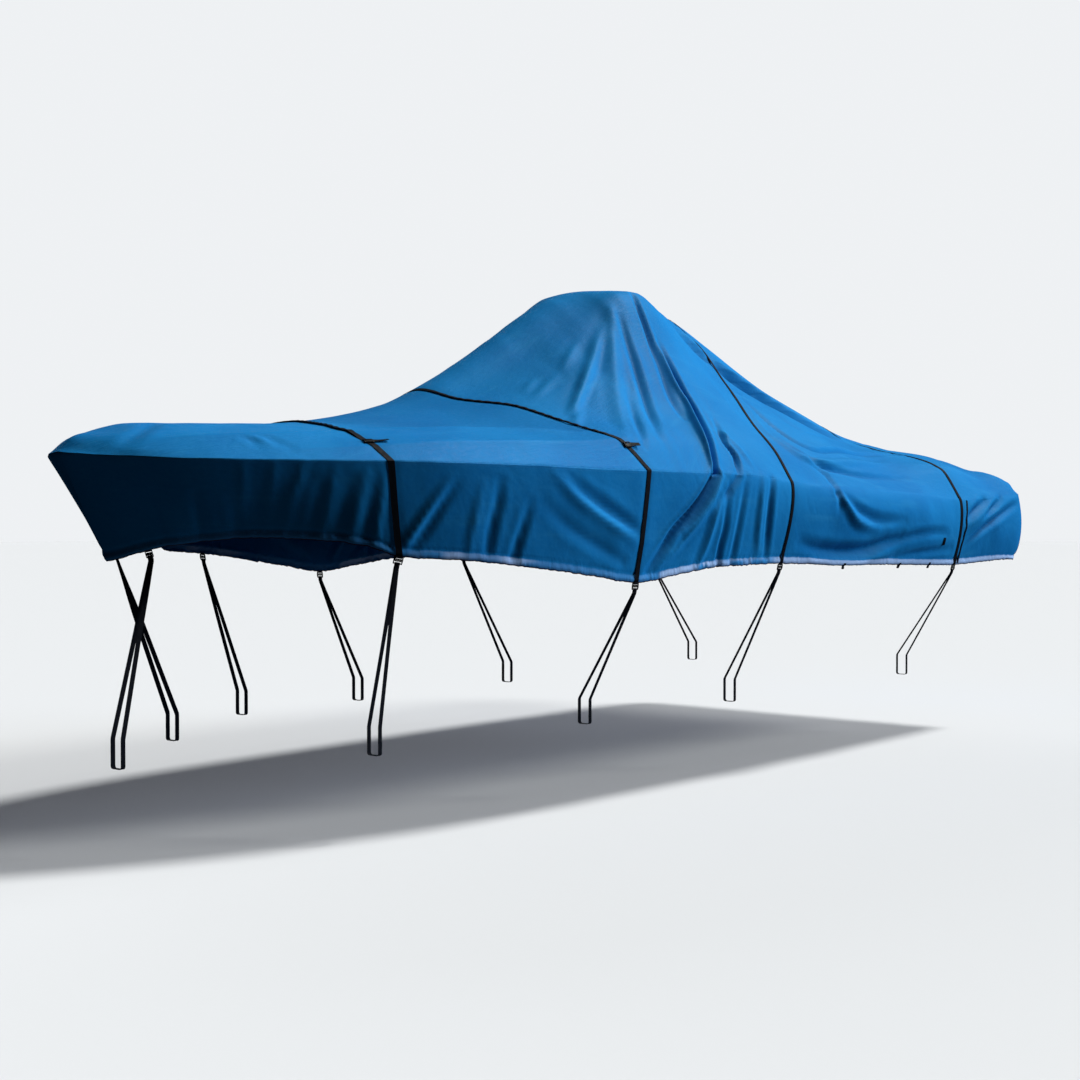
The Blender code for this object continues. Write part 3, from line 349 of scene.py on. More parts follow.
# ---------------------------------------------------------------- folds of the cloth
# Each fold is a kind (v trough, r ridge, k trough with one lip, s step,
# c crisp edge) and rows of
#   (station x, w, depth, width), w as in base().
FOLDS = (
    # main tent fold
    ("k", ((3.802, -0.403, 0.004, 0.028), (3.789, -0.456, 0.014, 0.028),
           (3.675, -0.599, 0.036, 0.030), (3.605, -0.713, 0.054, 0.031),
           (3.436, -0.870, 0.060, 0.031), (3.353, -0.950, 0.038, 0.025),
           (3.308, -0.993, 0.018, 0.018))),
    # main fold on the skirt
    ("v", ((3.298, -1.010, 0.020, 0.020), (3.189, -1.255, 0.030, 0.026),
           (3.099, -1.414, 0.032, 0.028), (2.994, -1.560, 0.026, 0.030),
           (2.915, -1.720, 0.016, 0.032), (2.820, -1.900, 0.006, 0.032))),
    # raised strip aft of it
    ("r", ((3.345, -1.060, 0.006, 0.030), (3.275, -1.260, 0.014, 0.034),
           (3.190, -1.440, 0.014, 0.036), (3.100, -1.600, 0.004, 0.034))),
    # tent trough, aft of the corner
    ("v", ((3.836, -0.242, 0.008, 0.020), (3.784, -0.309, 0.018, 0.024),
           (3.737, -0.388, 0.018, 0.028), (3.645, -0.504, 0.012, 0.034),
           (3.501, -0.652, 0.012, 0.036), (3.433, -0.758, 0.004, 0.036))),
    # tent trough, at the corner
    ("v", ((3.592, -0.303, 0.004, 0.024), (3.499, -0.421, 0.012, 0.030),
           (3.332, -0.582, 0.014, 0.034), (3.137, -0.760, 0.010, 0.034),
           (2.990, -0.885, 0.002, 0.030))),
    # tent trough, low
    ("v", ((3.167, -0.611, 0.002, 0.022), (2.942, -0.804, 0.008, 0.024),
           (2.797, -0.928, 0.003, 0.022))),
    # tent corner
    ("r", ((3.563, -0.278, 0.006, 0.045), (3.390, -0.390, 0.012, 0.050),
           (3.172, -0.538, 0.010, 0.055), (2.964, -0.690, 0.006, 0.050),
           (2.698, -0.908, 0.002, 0.040))),
    # bow face ridge
    ("r", ((3.448, -0.295, 0.002, 0.026), (3.296, -0.358, 0.012, 0.032),
           (3.103, -0.440, 0.016, 0.034), (2.930, -0.512, 0.018, 0.034),
           (2.771, -0.579, 0.014, 0.032), (2.657, -0.633, 0.004, 0.028))),
    # bow face ridge, short
    ("r", ((3.254, -0.287, 0.001, 0.022), (3.090, -0.334, 0.008, 0.026),
           (2.940, -0.378, 0.001, 0.024))),
    # bow face ridge, faint
    ("r", ((2.807, -0.334, 0.001, 0.022), (2.727, -0.350, 0.006, 0.024),
           (2.635, -0.378, 0.001, 0.022))),
    # bow face ridge, faint
    ("r", ((2.919, -0.379, 0.001, 0.024), (2.768, -0.409, 0.007, 0.026),
           (2.602, -0.449, 0.001, 0.024))),
    # low blob
    ("r", ((2.769, -0.620, 0.001, 0.022), (2.630, -0.679, 0.008, 0.026),
           (2.515, -0.746, 0.001, 0.022))),
    # second tent fold
    ("v", ((3.727, -0.756, 0.003, 0.018), (3.590, -0.885, 0.018, 0.022),
           (3.584, -0.922, 0.022, 0.022), (3.581, -0.949, 0.020, 0.020),
           (3.536, -0.989, 0.010, 0.016))),
    # second fold on the skirt
    ("v", ((3.507, -1.023, 0.010, 0.018), (3.454, -1.134, 0.013, 0.020),
           (3.418, -1.210, 0.012, 0.022), (3.325, -1.305, 0.003, 0.024))),
    # light streak
    ("r", ((3.665, -0.778, 0.001, 0.020), (3.665, -0.853, 0.007, 0.022),
           (3.689, -0.925, 0.007, 0.022), (3.710, -0.976, 0.002, 0.020))),
    # crease aft of the peak
    ("s", ((4.180, -0.245, 0.002, 0.030), (4.320, -0.290, 0.018, 0.036),
           (4.470, -0.325, 0.032, 0.038), (4.640, -0.350, 0.040, 0.040),
           (4.820, -0.365, 0.042, 0.042), (5.000, -0.385, 0.040, 0.042),
           (5.240, -0.410, 0.034, 0.042), (5.580, -0.440, 0.022, 0.044),
           (5.900, -0.470, 0.004, 0.044))),
    # upper swag
    ("v", ((4.488, -0.498, 0.002, 0.020), (4.453, -0.612, 0.012, 0.022),
           (4.469, -0.721, 0.017, 0.024), (4.547, -0.802, 0.018, 0.026),
           (4.722, -0.829, 0.018, 0.026), (5.187, -0.760, 0.014, 0.026),
           (5.742, -0.687, 0.010, 0.026), (6.313, -0.619, 0.002, 0.026))),
    # upper swag's roll
    ("r", ((4.413, -0.566, 0.001, 0.024), (4.263, -0.778, 0.008, 0.030),
           (4.391, -0.906, 0.012, 0.034), (4.911, -0.885, 0.010, 0.034),
           (5.668, -0.798, 0.002, 0.032))),
    # lower swag
    ("v", ((4.327, -0.748, 0.002, 0.020), (4.351, -0.821, 0.010, 0.022),
           (4.409, -0.886, 0.016, 0.024), (4.517, -0.925, 0.018, 0.024),
           (4.745, -0.940, 0.016, 0.024), (4.974, -0.949, 0.012, 0.024),
           (5.273, -0.940, 0.008, 0.024), (5.587, -0.929, 0.002, 0.024))),
    # thin upper crease
    ("v", ((4.758, -0.530, 0.001, 0.016), (4.811, -0.619, 0.008, 0.018),
           (4.951, -0.666, 0.008, 0.018), (5.394, -0.587, 0.001, 0.018))),
    # shoulder fold
    ("v", ((4.376, -0.918, 0.003, 0.018), (4.479, -0.946, 0.012, 0.022),
           (4.522, -0.982, 0.013, 0.024), (4.529, -1.087, 0.010, 0.024))),
    # shoulder fold, below
    ("v", ((4.531, -1.114, 0.010, 0.024), (4.542, -1.206, 0.007, 0.026),
           (4.534, -1.305, 0.002, 0.024))),
    # crescent fold
    ("r", ((4.530, -1.067, 0.004, 0.030), (4.598, -1.239, 0.014, 0.034),
           (4.710, -1.414, 0.016, 0.036), (4.834, -1.485, 0.012, 0.036),
           (4.998, -1.529, 0.003, 0.032))),
    # crescent's trough
    ("v", ((4.648, -1.176, 0.002, 0.030), (4.786, -1.314, 0.010, 0.034),
           (4.995, -1.403, 0.010, 0.036), (5.308, -1.402, 0.002, 0.034))),
    # belly fold
    ("v", ((4.195, -1.745, 0.004, 0.040), (4.361, -1.796, 0.014, 0.044),
           (4.632, -1.825, 0.022, 0.048), (4.923, -1.795, 0.022, 0.046),
           (5.122, -1.687, 0.014, 0.042), (5.301, -1.586, 0.003, 0.036))),
    # belly roll
    ("r", ((4.365, -1.947, 0.002, 0.040), (4.726, -1.965, 0.008, 0.040),
           (5.116, -1.882, 0.008, 0.036), (5.331, -1.770, 0.002, 0.034))),
    # aft belly crease
    ("v", ((5.035, -1.765, 0.003, 0.022), (5.241, -1.686, 0.012, 0.024),
           (5.471, -1.596, 0.014, 0.024), (5.765, -1.529, 0.008, 0.022),
           (5.953, -1.529, 0.002, 0.022))),
    # aft belly crease, lower
    ("v", ((5.285, -1.909, 0.002, 0.018), (5.511, -1.850, 0.009, 0.020),
           (5.779, -1.796, 0.010, 0.020), (6.045, -1.745, 0.003, 0.020))),
    # stern tuck
    ("v", ((6.234, -1.326, 0.003, 0.016), (6.354, -1.176, 0.020, 0.020),
           (6.518, -1.025, 0.007, 0.018))),
    # stern tuck, aft
    ("v", ((6.495, -1.276, 0.003, 0.014), (6.624, -1.151, 0.017, 0.018),
           (6.759, -1.023, 0.005, 0.016))),
    # long stern tuck
    ("v", ((6.234, -1.722, 0.003, 0.018), (6.403, -1.529, 0.015, 0.020),
           (6.607, -1.358, 0.019, 0.022), (6.818, -1.210, 0.014, 0.020),
           (6.986, -1.116, 0.003, 0.018))),
    # stern ridge
    ("r", ((6.196, -1.471, 0.001, 0.024), (6.342, -1.358, 0.008, 0.026),
           (6.539, -1.150, 0.008, 0.026), (6.734, -1.000, 0.002, 0.022))),
    # skirt fold aft of the second strap
    ("v", ((3.429, -1.976, 0.012, 0.022), (3.419, -1.790, 0.014, 0.024),
           (3.428, -1.586, 0.012, 0.024), (3.418, -1.358, 0.006, 0.024),
           (3.428, -1.120, 0.003, 0.020))),
    # skirt fold
    ("v", ((3.551, -1.966, 0.008, 0.020), (3.554, -1.780, 0.011, 0.022),
           (3.554, -1.515, 0.009, 0.024), (3.567, -1.210, 0.006, 0.022),
           (3.588, -1.049, 0.002, 0.020))),
    # skirt fold by the third strap
    ("v", ((3.877, -1.881, 0.008, 0.022), (3.841, -1.586, 0.014, 0.024),
           (3.825, -1.305, 0.014, 0.024), (3.839, -1.027, 0.007, 0.020))),
    # skirt ridge
    ("r", ((3.796, -1.902, 0.003, 0.026), (3.751, -1.598, 0.009, 0.030),
           (3.738, -1.276, 0.009, 0.030), (3.756, -1.025, 0.003, 0.026))),
    # skirt ridge, fore
    ("r", ((3.234, -1.966, 0.006, 0.030), (3.278, -1.745, 0.010, 0.034),
           (3.313, -1.471, 0.010, 0.034), (3.359, -1.255, 0.004, 0.030))),
    # skirt crease, low
    ("r", ((2.910, -1.866, 0.002, 0.024), (3.024, -1.745, 0.009, 0.028),
           (3.119, -1.586, 0.009, 0.028), (3.206, -1.471, 0.002, 0.026))),
    # skirt fold aft of the first strap
    ("r", ((1.185, -1.912, 0.008, 0.022), (1.246, -1.746, 0.012, 0.026),
           (1.321, -1.537, 0.011, 0.028), (1.393, -1.347, 0.007, 0.026),
           (1.454, -1.171, 0.002, 0.022))),
    # trough under it
    ("v", ((1.221, -1.947, 0.003, 0.026), (1.305, -1.721, 0.008, 0.030),
           (1.391, -1.461, 0.008, 0.030), (1.469, -1.239, 0.002, 0.028))),
    # skirt trough
    ("v", ((1.663, -1.867, 0.010, 0.030), (1.676, -1.667, 0.013, 0.034),
           (1.711, -1.406, 0.011, 0.034), (1.728, -1.191, 0.004, 0.030))),
    # skirt trough, next
    ("v", ((1.824, -1.924, 0.010, 0.026), (1.849, -1.744, 0.012, 0.028),
           (1.882, -1.548, 0.010, 0.030), (1.908, -1.389, 0.003, 0.028))),
    # skirt ridge between
    ("r", ((1.553, -1.921, 0.004, 0.028), (1.571, -1.675, 0.008, 0.032),
           (1.599, -1.432, 0.006, 0.032), (1.626, -1.226, 0.002, 0.030))),
    # long diagonal ridge
    ("r", ((2.066, -1.091, 0.003, 0.036), (2.196, -1.271, 0.011, 0.044),
           (2.365, -1.422, 0.014, 0.048), (2.525, -1.534, 0.012, 0.044),
           (2.690, -1.642, 0.005, 0.036))),
    # long diagonal trough
    ("v", ((2.171, -1.152, 0.002, 0.034), (2.301, -1.274, 0.011, 0.038),
           (2.459, -1.386, 0.014, 0.038), (2.578, -1.460, 0.012, 0.034),
           (2.682, -1.516, 0.004, 0.030))),
    # diagonal trough, low
    ("v", ((2.001, -1.372, 0.002, 0.040), (2.174, -1.565, 0.010, 0.044),
           (2.392, -1.704, 0.012, 0.044), (2.588, -1.812, 0.006, 0.038))),
    # bow streak
    ("r", ((0.555, -1.079, 0.003, 0.012), (0.566, -1.384, 0.004, 0.012),
           (0.570, -1.622, 0.001, 0.012))),
    # bow streak
    ("r", ((0.678, -1.068, 0.003, 0.011), (0.671, -1.385, 0.004, 0.011),
           (0.669, -1.715, 0.003, 0.011), (0.669, -1.992, 0.001, 0.011))),
    # bow streak
    ("r", ((0.791, -1.043, 0.003, 0.012), (0.776, -1.255, 0.005, 0.012),
           (0.750, -1.502, 0.004, 0.012), (0.739, -1.900, 0.002, 0.012))),
    # bow streak
    ("r", ((0.918, -1.150, 0.003, 0.013), (0.896, -1.496, 0.005, 0.013),
           (0.873, -1.808, 0.005, 0.013), (0.855, -1.993, 0.002, 0.013))),
    # bow streak
    ("r", ((1.048, -1.155, 0.003, 0.012), (1.012, -1.516, 0.005, 0.012),
           (0.978, -1.832, 0.006, 0.012), (0.973, -1.993, 0.003, 0.012))),
    # bow streak
    ("r", ((1.141, -1.148, 0.004, 0.010), (1.113, -1.427, 0.006, 0.010),
           (1.076, -1.783, 0.007, 0.010), (1.064, -1.988, 0.004, 0.010))),
    # bow fold
    ("v", ((0.418, -1.993, 0.006, 0.022), (0.405, -1.741, 0.006, 0.026),
           (0.382, -1.437, 0.002, 0.024))),
    # bow fold
    ("v", ((0.252, -2.000, 0.006, 0.022), (0.245, -1.761, 0.006, 0.026),
           (0.220, -1.417, 0.002, 0.024))),
    # bow fold
    ("v", ((0.549, -1.993, 0.005, 0.018), (0.545, -1.763, 0.005, 0.022),
           (0.521, -1.512, 0.001, 0.022))),
    # bow fold
    ("v", ((0.826, -1.990, 0.006, 0.016), (0.840, -1.691, 0.006, 0.020),
           (0.861, -1.306, 0.002, 0.018))),
    # bow fold
    ("v", ((0.934, -1.989, 0.006, 0.016), (0.945, -1.663, 0.007, 0.020),
           (0.983, -1.233, 0.002, 0.018))),
    # bow fold
    ("v", ((1.029, -1.993, 0.006, 0.014), (1.049, -1.673, 0.007, 0.016),
           (1.088, -1.261, 0.002, 0.015))),
    # bow crinkle
    ("v", ((0.644, -0.764, 0.001, 0.014), (0.666, -0.805, 0.003, 0.014),
           (0.660, -0.879, 0.001, 0.012))),
    # bow crinkle
    ("r", ((0.675, -0.759, 0.001, 0.014), (0.710, -0.795, 0.003, 0.014),
           (0.720, -0.869, 0.001, 0.012))),
    # bow crinkle
    ("v", ((0.726, -0.765, 0.001, 0.012), (0.757, -0.816, 0.003, 0.012),
           (0.755, -0.895, 0.001, 0.012))),
    # bow crinkle
    ("v", ((0.787, -0.837, 0.001, 0.010), (0.790, -0.884, 0.003, 0.010),
           (0.775, -0.939, 0.001, 0.010))),
    # bow facet
    ("v", ((0.151, -0.866, 0.002, 0.040), (0.254, -0.604, 0.006, 0.044),
           (0.444, -0.220, 0.003, 0.040))),
    # edge between the deck's flat runs, upper
    ("c", ((1.330, -0.560, 0.001, 0.050), (1.445, -0.589, 0.005, 0.055),
           (1.607, -0.636, 0.008, 0.060), (1.845, -0.652, 0.010, 0.060),
           (2.081, -0.680, 0.010, 0.060), (2.279, -0.734, 0.008, 0.055),
           (2.456, -0.794, 0.002, 0.050))),
    # edge between the deck's flat runs, lower
    ("c", ((1.240, -0.860, 0.001, 0.036), (1.497, -0.878, 0.003, 0.040),
           (1.709, -0.890, 0.004, 0.040), (1.949, -0.898, 0.004, 0.040),
           (2.194, -0.906, 0.003, 0.040), (2.461, -0.920, 0.001, 0.036))),
)


# ---------------------------------------------------------------- noise
def lattice(seed, n=64):
    return np.random.RandomState(seed).rand(n, n) * 2 - 1


def noise(u, v, seed):
    """Smooth value noise of about unit size, one cell per unit of u and v."""
    g = lattice(seed)
    n = g.shape[0]
    iu, iv = np.floor(u).astype(int), np.floor(v).astype(int)
    fu, fv = u - iu, v - iv
    fu, fv = fu ** 3 * (fu * (fu * 6 - 15) + 10), fv ** 3 * (fv * (fv * 6 - 15) + 10)
    a, b = g[iu % n, iv % n], g[(iu + 1) % n, iv % n]
    c, d = g[iu % n, (iv + 1) % n], g[(iu + 1) % n, (iv + 1) % n]
    return (a * (1 - fu) + b * fu) * (1 - fv) + (c * (1 - fu) + d * fu) * fv


# ---------------------------------------------------------------- folds
def profile(kind, s, side):
    """Height of a fold s widths from its line, outwards positive, for unit depth."""
    core = np.exp(-np.abs(s) ** 1.6)
    lips = np.exp(-((np.abs(s) - 1.9) / 0.75) ** 2)
    if kind == "r":
        return core - 0.16 * lips
    if kind == "c":                                   # crisp edge between two flat runs
        return np.exp(-np.abs(s) / 0.9)
    if kind == "s":                                   # step: the cloth above hangs over
        up = 0.5 - 0.5 * np.tanh(2.2 * side * np.abs(s))
        return 0.60 * up * np.exp(-np.abs(s) / 4.2) - 1.05 * (1 - up) * np.exp(-np.abs(s) / 1.8)
    if kind == "k":                                   # trough with one raised lip
        return -core + np.where(side > 0, 0.42, 0.12) * lips
    return -core + 0.20 * lips


def smooth_path(rows, steps=14):
    """Catmull-Rom through rows of (x, w, depth, width)."""
    q = np.asarray(rows, float)
    q = np.vstack([2 * q[0] - q[1], q, 2 * q[-1] - q[-2]])
    out = []
    for i in range(1, len(q) - 2):
        a, b, c, d = q[i - 1:i + 3]
        for k in range(steps):
            t = k / steps
            out.append(0.5 * (2 * b + (c - a) * t + (2 * a - 5 * b + 4 * c - d) * t * t
                              + (3 * b - a - 3 * c + d) * t ** 3))
    out.append(q[-2])
    out = np.array(out)
    lo, hi = q[1:-1].min(0), q[1:-1].max(0)
    out[:, 2:] = np.clip(out[:, 2:], lo[2:], hi[2:])
    return out


FOLD_GAIN, FOLD_WIDTH = 1.70, 0.78


def fold_heights(points, normals, folds):
    """Outward displacement of every point from the table of folds, and how much painted
    shade each point takes in a crease or below a step, and how much painted highlight on a ridge."""
    total, crease, painted_highlight = (np.zeros(len(points)) for _ in range(3))
    for kind, rows in folds:
        q = smooth_path(rows)
        line = fold_line(q[:, 0], q[:, 1])
        reach = (9.0 if kind == "s" else 3.2) * q[:, 3].max()
        near = np.all((points > line.min(0) - reach) & (points < line.max(0) + reach), axis=1)
        ids = np.nonzero(near)[0]
        if not len(ids):
            continue
        tangent = np.gradient(line, axis=0)
        step = np.linalg.norm(tangent, axis=1)
        tangent /= step[:, None]
        p = points[ids]
        best = np.full(len(ids), 1e9)
        j = np.zeros(len(ids), int)
        for k in range(len(line)):
            d = ((p - line[k]) ** 2).sum(1)
            m = d < best
            best[m], j[m] = d[m], k
        r = p - line[j]
        along = (r * tangent[j]).sum(1)
        r = r - tangent[j] * np.clip(along, -0.5 * step[j], 0.5 * step[j])[:, None]
        dist = np.linalg.norm(r, axis=1)
        side = np.sign((r * np.cross(tangent[j], normals[ids])).sum(1))
        wide = np.maximum(FOLD_WIDTH * q[j, 3], np.where(np.abs(q[j, 1]) > 1, 0.023, 0.017))
        low = np.abs(q[j, 1]) > 1
        gain = np.where(low & (q[j, 0] < 1.2), 0.50, np.where(low & (q[j, 0] < 2.75), 0.72,
                        np.where(low & (q[j, 0] < 4.0), 0.84, 1.0))) * FOLD_GAIN
        s = dist / wide
        total[ids] += gain * q[j, 2] * profile(kind, s, side)
        # painted highlight along the ridges; painted shade below the steps and along the troughs
        if kind == "r":
            painted_highlight[ids] += q[j, 2] / 0.016 * np.exp(-(s / 0.8) ** 2)
        elif kind == "s":
            crease[ids] += q[j, 2] / 0.030 * np.exp(-((s * side - 0.9) / 1.1) ** 2)
        elif kind in "vk":
            crease[ids] += q[j, 2] / 0.018 * np.exp(-(s / 0.7) ** 2)
    return total, np.clip(crease, 0, 1), np.clip(painted_highlight, 0, 1)


def relax(points, index, weight, rounds):
    """Weighted smoothing over the welded panels: rounds off where weight is above 0."""
    pairs = []
    for ids in index.values():
        pairs.append(np.stack([ids[:-1].reshape(-1), ids[1:].reshape(-1)], 1))
        pairs.append(np.stack([ids[:, :-1].reshape(-1), ids[:, 1:].reshape(-1)], 1))
    e = np.unique(np.sort(np.concatenate(pairs), axis=1), axis=0)
    e = e[e[:, 0] != e[:, 1]]
    e = e[(weight[e[:, 0]] > 0.001) | (weight[e[:, 1]] > 0.001)]
    for _ in range(rounds):
        inv = 1.0 / np.maximum(np.linalg.norm(points[e[:, 0]] - points[e[:, 1]], axis=1), 1e-4)
        total = np.zeros_like(points)
        count = np.zeros(len(points))
        np.add.at(total, e[:, 0], points[e[:, 1]] * inv[:, None])
        np.add.at(total, e[:, 1], points[e[:, 0]] * inv[:, None])
        np.add.at(count, e[:, 0], inv)
        np.add.at(count, e[:, 1], inv)
        mean = total / np.maximum(count, 1e-9)[:, None]
        k = (0.6 * weight * (count > 0))[:, None]
        points = points * (1 - k) + mean * k
    return points


grids, params, strips, middle, ts, vs = panel_grids()
points, index, first = weld(grids)
where = np.concatenate([params[n].reshape(-1, 2) for n in grids])[first]
normals = normals_of(points, index)
X, W = where[:, 0], where[:, 1]
on_top = np.abs(W) <= 1
is_stern = np.zeros(len(points), bool)
is_stern[np.unique(index["stern"][1:-1, 1:])] = True

# The cut's stern is fuller than its edge lines: it is rounded out behind the corners.
def fuller(p, x, w, stern):
    p = np.array(p, float)
    top = (np.abs(w) <= 1) & ~stern
    full = np.where(stern, 1.0, ramp(x, 6.45, 7.05))
    down = np.where(stern, (x - 7.05) / 0.5, np.where(top, 0.0, np.clip(np.abs(w) - 1, 0, 1)))
    puff = (0.35 - 0.70 * ramp(down, 0.84, 1.0)
            + 0.65 * np.sin(np.pi * np.clip(0.62 * down + 0.16, 0, 1)))
    puff = np.where(top, 0.55 * ramp(x, 6.75, 7.05), puff)
    p[..., 0] += 0.096 * full ** 2 * puff
    p[..., 2] += np.where(top, 0.030 * ramp(x, 6.70, 7.03) * np.clip(1.3 * np.abs(w), 0, 1), 0.0)
    p[..., 2] += np.where(top, 0.0, 0.030 * full * np.clip(1 - 1.6 * down, 0, 1))
    return p


def fold_line(x, w):
    """Points of a fold's line on the moved cloth, the stern's stations run 7.05 to 7.55."""
    stern = (x > 7.0501) & (np.abs(w) <= 1)
    p = base(np.where(stern, 7.05, x), w)
    if stern.any():
        g = grids["stern"]
        i = np.interp(w[stern], ts, np.arange(len(ts)))
        j = np.interp((x[stern] - 7.05) / 0.5, vs, np.arange(len(vs)))
        a, b = np.minimum(i.astype(int), len(ts) - 2), np.minimum(j.astype(int), len(vs) - 2)
        fi, fj = (i - a)[:, None], (j - b)[:, None]
        p[stern] = ((g[a, b] * (1 - fi) + g[a + 1, b] * fi) * (1 - fj)
                    + (g[a, b + 1] * (1 - fi) + g[a + 1, b + 1] * fi) * fj)
    return fuller(p, x, w, stern)


def far_side(folds):
    """The folds of the port side once more to starboard, shifted and of other depths."""
    out = []
    for i, (kind, rows) in enumerate(folds):
        if kind == "s" or max(r[1] for r in rows) > -0.15 or i % 6 == 4:
            continue
        dx, gain = 0.075 * math.sin(2.4 * i + 0.7), 0.80 + 0.22 * math.sin(5.1 * i + 1.0)
        lean = 0.05 * math.sin(3.3 * i)
        turned = [(x + dx + lean * (abs(w) - 1), -w, depth * gain, wide) for x, w, depth, wide in rows]
        if kind in "ks":
            turned = turned[::-1]
        out.append((kind, tuple(turned)))
    return out


STERN_FOLDS = (
    # tucks running down and in from both corners, slack hanging between them
    ("v", ((7.07, -0.96, 0.004, 0.022), (7.16, -0.90, 0.012, 0.024), (7.30, -0.80, 0.012, 0.026), (7.42, -0.72, 0.003, 0.026))),
    ("r", ((7.06, -0.93, 0.004, 0.026), (7.18, -0.82, 0.010, 0.030), (7.31, -0.69, 0.009, 0.032), (7.43, -0.58, 0.002, 0.030))),
    ("v", ((7.06, -0.80, 0.002, 0.026), (7.15, -0.68, 0.008, 0.030), (7.27, -0.52, 0.009, 0.034), (7.38, -0.38, 0.002, 0.034))),
    ("v", ((7.07, 0.95, 0.004, 0.022), (7.15, 0.87, 0.013, 0.024), (7.27, 0.77, 0.012, 0.026), (7.41, 0.70, 0.003, 0.026))),
    ("r", ((7.06, 0.90, 0.004, 0.026), (7.17, 0.78, 0.010, 0.030), (7.30, 0.66, 0.008, 0.032), (7.42, 0.57, 0.002, 0.030))),
    ("v", ((7.06, 0.72, 0.002, 0.026), (7.18, 0.60, 0.008, 0.032), (7.31, 0.43, 0.008, 0.034), (7.42, 0.31, 0.002, 0.034))),
    ("r", ((7.54, -0.34, 0.008, 0.024), (7.43, -0.31, 0.009, 0.028), (7.28, -0.27, 0.006, 0.034), (7.14, -0.22, 0.001, 0.034))),
    ("v", ((7.54, -0.18, 0.009, 0.024), (7.42, -0.16, 0.010, 0.028), (7.25, -0.12, 0.006, 0.034), (7.12, -0.07, 0.001, 0.034))),
    ("r", ((7.54, 0.05, 0.007, 0.024), (7.41, 0.05, 0.009, 0.028), (7.25, 0.03, 0.006, 0.032), (7.13, 0.02, 0.001, 0.032))),
    ("v", ((7.54, 0.21, 0.008, 0.022), (7.44, 0.20, 0.009, 0.026), (7.31, 0.16, 0.005, 0.032), (7.20, 0.12, 0.001, 0.032))),
    ("v", ((7.54, 0.49, 0.008, 0.022), (7.45, 0.47, 0.008, 0.026), (7.36, 0.44, 0.001, 0.030))),
    ("r", ((7.54, -0.66, 0.008, 0.022), (7.46, -0.62, 0.008, 0.026), (7.37, -0.57, 0.001, 0.030))),
)

# Long pulls over the aft deck to starboard and the bow deck's own slack.
STARBOARD_FOLDS = (
    ("r", ((4.24, 0.38, 0.001, 0.034), (4.38, 0.52, 0.010, 0.038), (4.60, 0.72, 0.012, 0.040), (4.83, 0.93, 0.003, 0.038))),
    ("v", ((4.40, 0.36, 0.001, 0.030), (4.60, 0.50, 0.010, 0.034), (4.85, 0.66, 0.013, 0.036), (5.20, 0.86, 0.004, 0.034))),
    ("v", ((2.35, 0.30, 0.002, 0.030), (2.62, 0.46, 0.009, 0.034), (2.86, 0.66, 0.010, 0.036), (3.02, 0.86, 0.003, 0.034))),
    ("v", ((5.72, 0.36, 0.001, 0.034), (5.90, 0.50, 0.009, 0.038), (6.02, 0.66, 0.010, 0.038), (6.10, 0.88, 0.003, 0.036))),
    ("r", ((6.62, 0.20, 0.001, 0.036), (6.66, 0.42, 0.008, 0.040), (6.60, 0.66, 0.008, 0.040), (6.48, 0.86, 0.002, 0.036))),
    ("v", ((0.42, 0.15, 0.002, 0.040), (0.66, 0.42, 0.007, 0.044), (0.84, 0.68, 0.006, 0.044), (0.96, 0.90, 0.002, 0.040))),
)


points = fuller(points, X, W, is_stern)
normals = normals_of(points, index)

heights, crease, painted_highlight = fold_heights(
    points, normals, list(FOLDS) + far_side(FOLDS) + list(STERN_FOLDS) + list(STARBOARD_FOLDS))

# The fore deck's flat runs get painted shade in steps: lightest at the gunwale, darker inwards.
half = SECTION(np.maximum(X, 0.03))[:, 0]
fore_run = ramp(X, 1.20, 1.60) * (1 - ramp(
    X - Curve(G_COLS, STRAP_LINES[1])(np.clip(W, -1, 1)), -0.05, 0.0)) * on_top
for at, share in (((0.855, 0.878, 0.890, 0.898, 0.906, 0.920), 0.24),
                  ((0.560, 0.610, 0.641, 0.660, 0.710, 0.794), 0.50)):
    line_w = np.interp(X, (1.24, 1.50, 1.71, 1.95, 2.19, 2.46), at)
    inside = (line_w - np.abs(W)) * half
    crease += share * fore_run * ramp(inside, -0.006, 0.006) * np.exp(-np.maximum(inside, 0) / 0.9)
crease = np.clip(crease, 0, 1)

# Across the webbing the cloth is held down and its folds are pressed flatter.
line_x = [Curve(G_COLS, xs)(np.clip(W, -1, 1)) for xs in STRAP_LINES]
strap_d = np.min([np.abs(X - lx) for lx in line_x], axis=0)
heights *= 1 - 0.60 * np.exp(-(strap_d / 0.05) ** 2) - 0.30 * np.exp(-(strap_d / 0.12) ** 2) * (
    (X > 4.1) & (X < 4.7) & (W > -0.42) & on_top)
heights -= 0.0035 * np.exp(-(strap_d / 0.024) ** 2)

# Slack between the main folds: small billows drawn out along the pull of the cloth.
half = SECTION(np.maximum(X, 0.03))[:, 0]
q = np.where(on_top, np.clip(W, -1, 1) * half * 1.25, np.sign(W) * (half * 1.25 + (np.abs(W) - 1) * 0.5))
tent = ramp(X, 2.2, 2.9) * (1 - ramp(X, 4.2, 4.6)) * on_top
aft = ramp(X, 4.2, 4.7) * on_top
fore = (1 - ramp(X, 2.0, 2.6)) * on_top
skirt = (~on_top) & ~is_stern
v = np.clip(np.abs(W) - 1, 0, 1)
lean = X + 0.35 * np.clip(W, -1, 1) * np.sign(W)
heights += tent * (0.0040 * noise(lean / 0.16, q / 0.9, 3) + 0.0016 * noise(lean / 0.06, q / 0.5, 4))
heights += aft * (0.0055 * noise(X / 0.55 + 9, q / 0.16, 5) + 0.0022 * noise(X / 0.30, q / 0.06, 6))
heights += fore * (0.0022 * noise(X / 0.22, q / 0.22, 7) + 0.0010 * noise(X / 0.09, q / 0.12, 8))
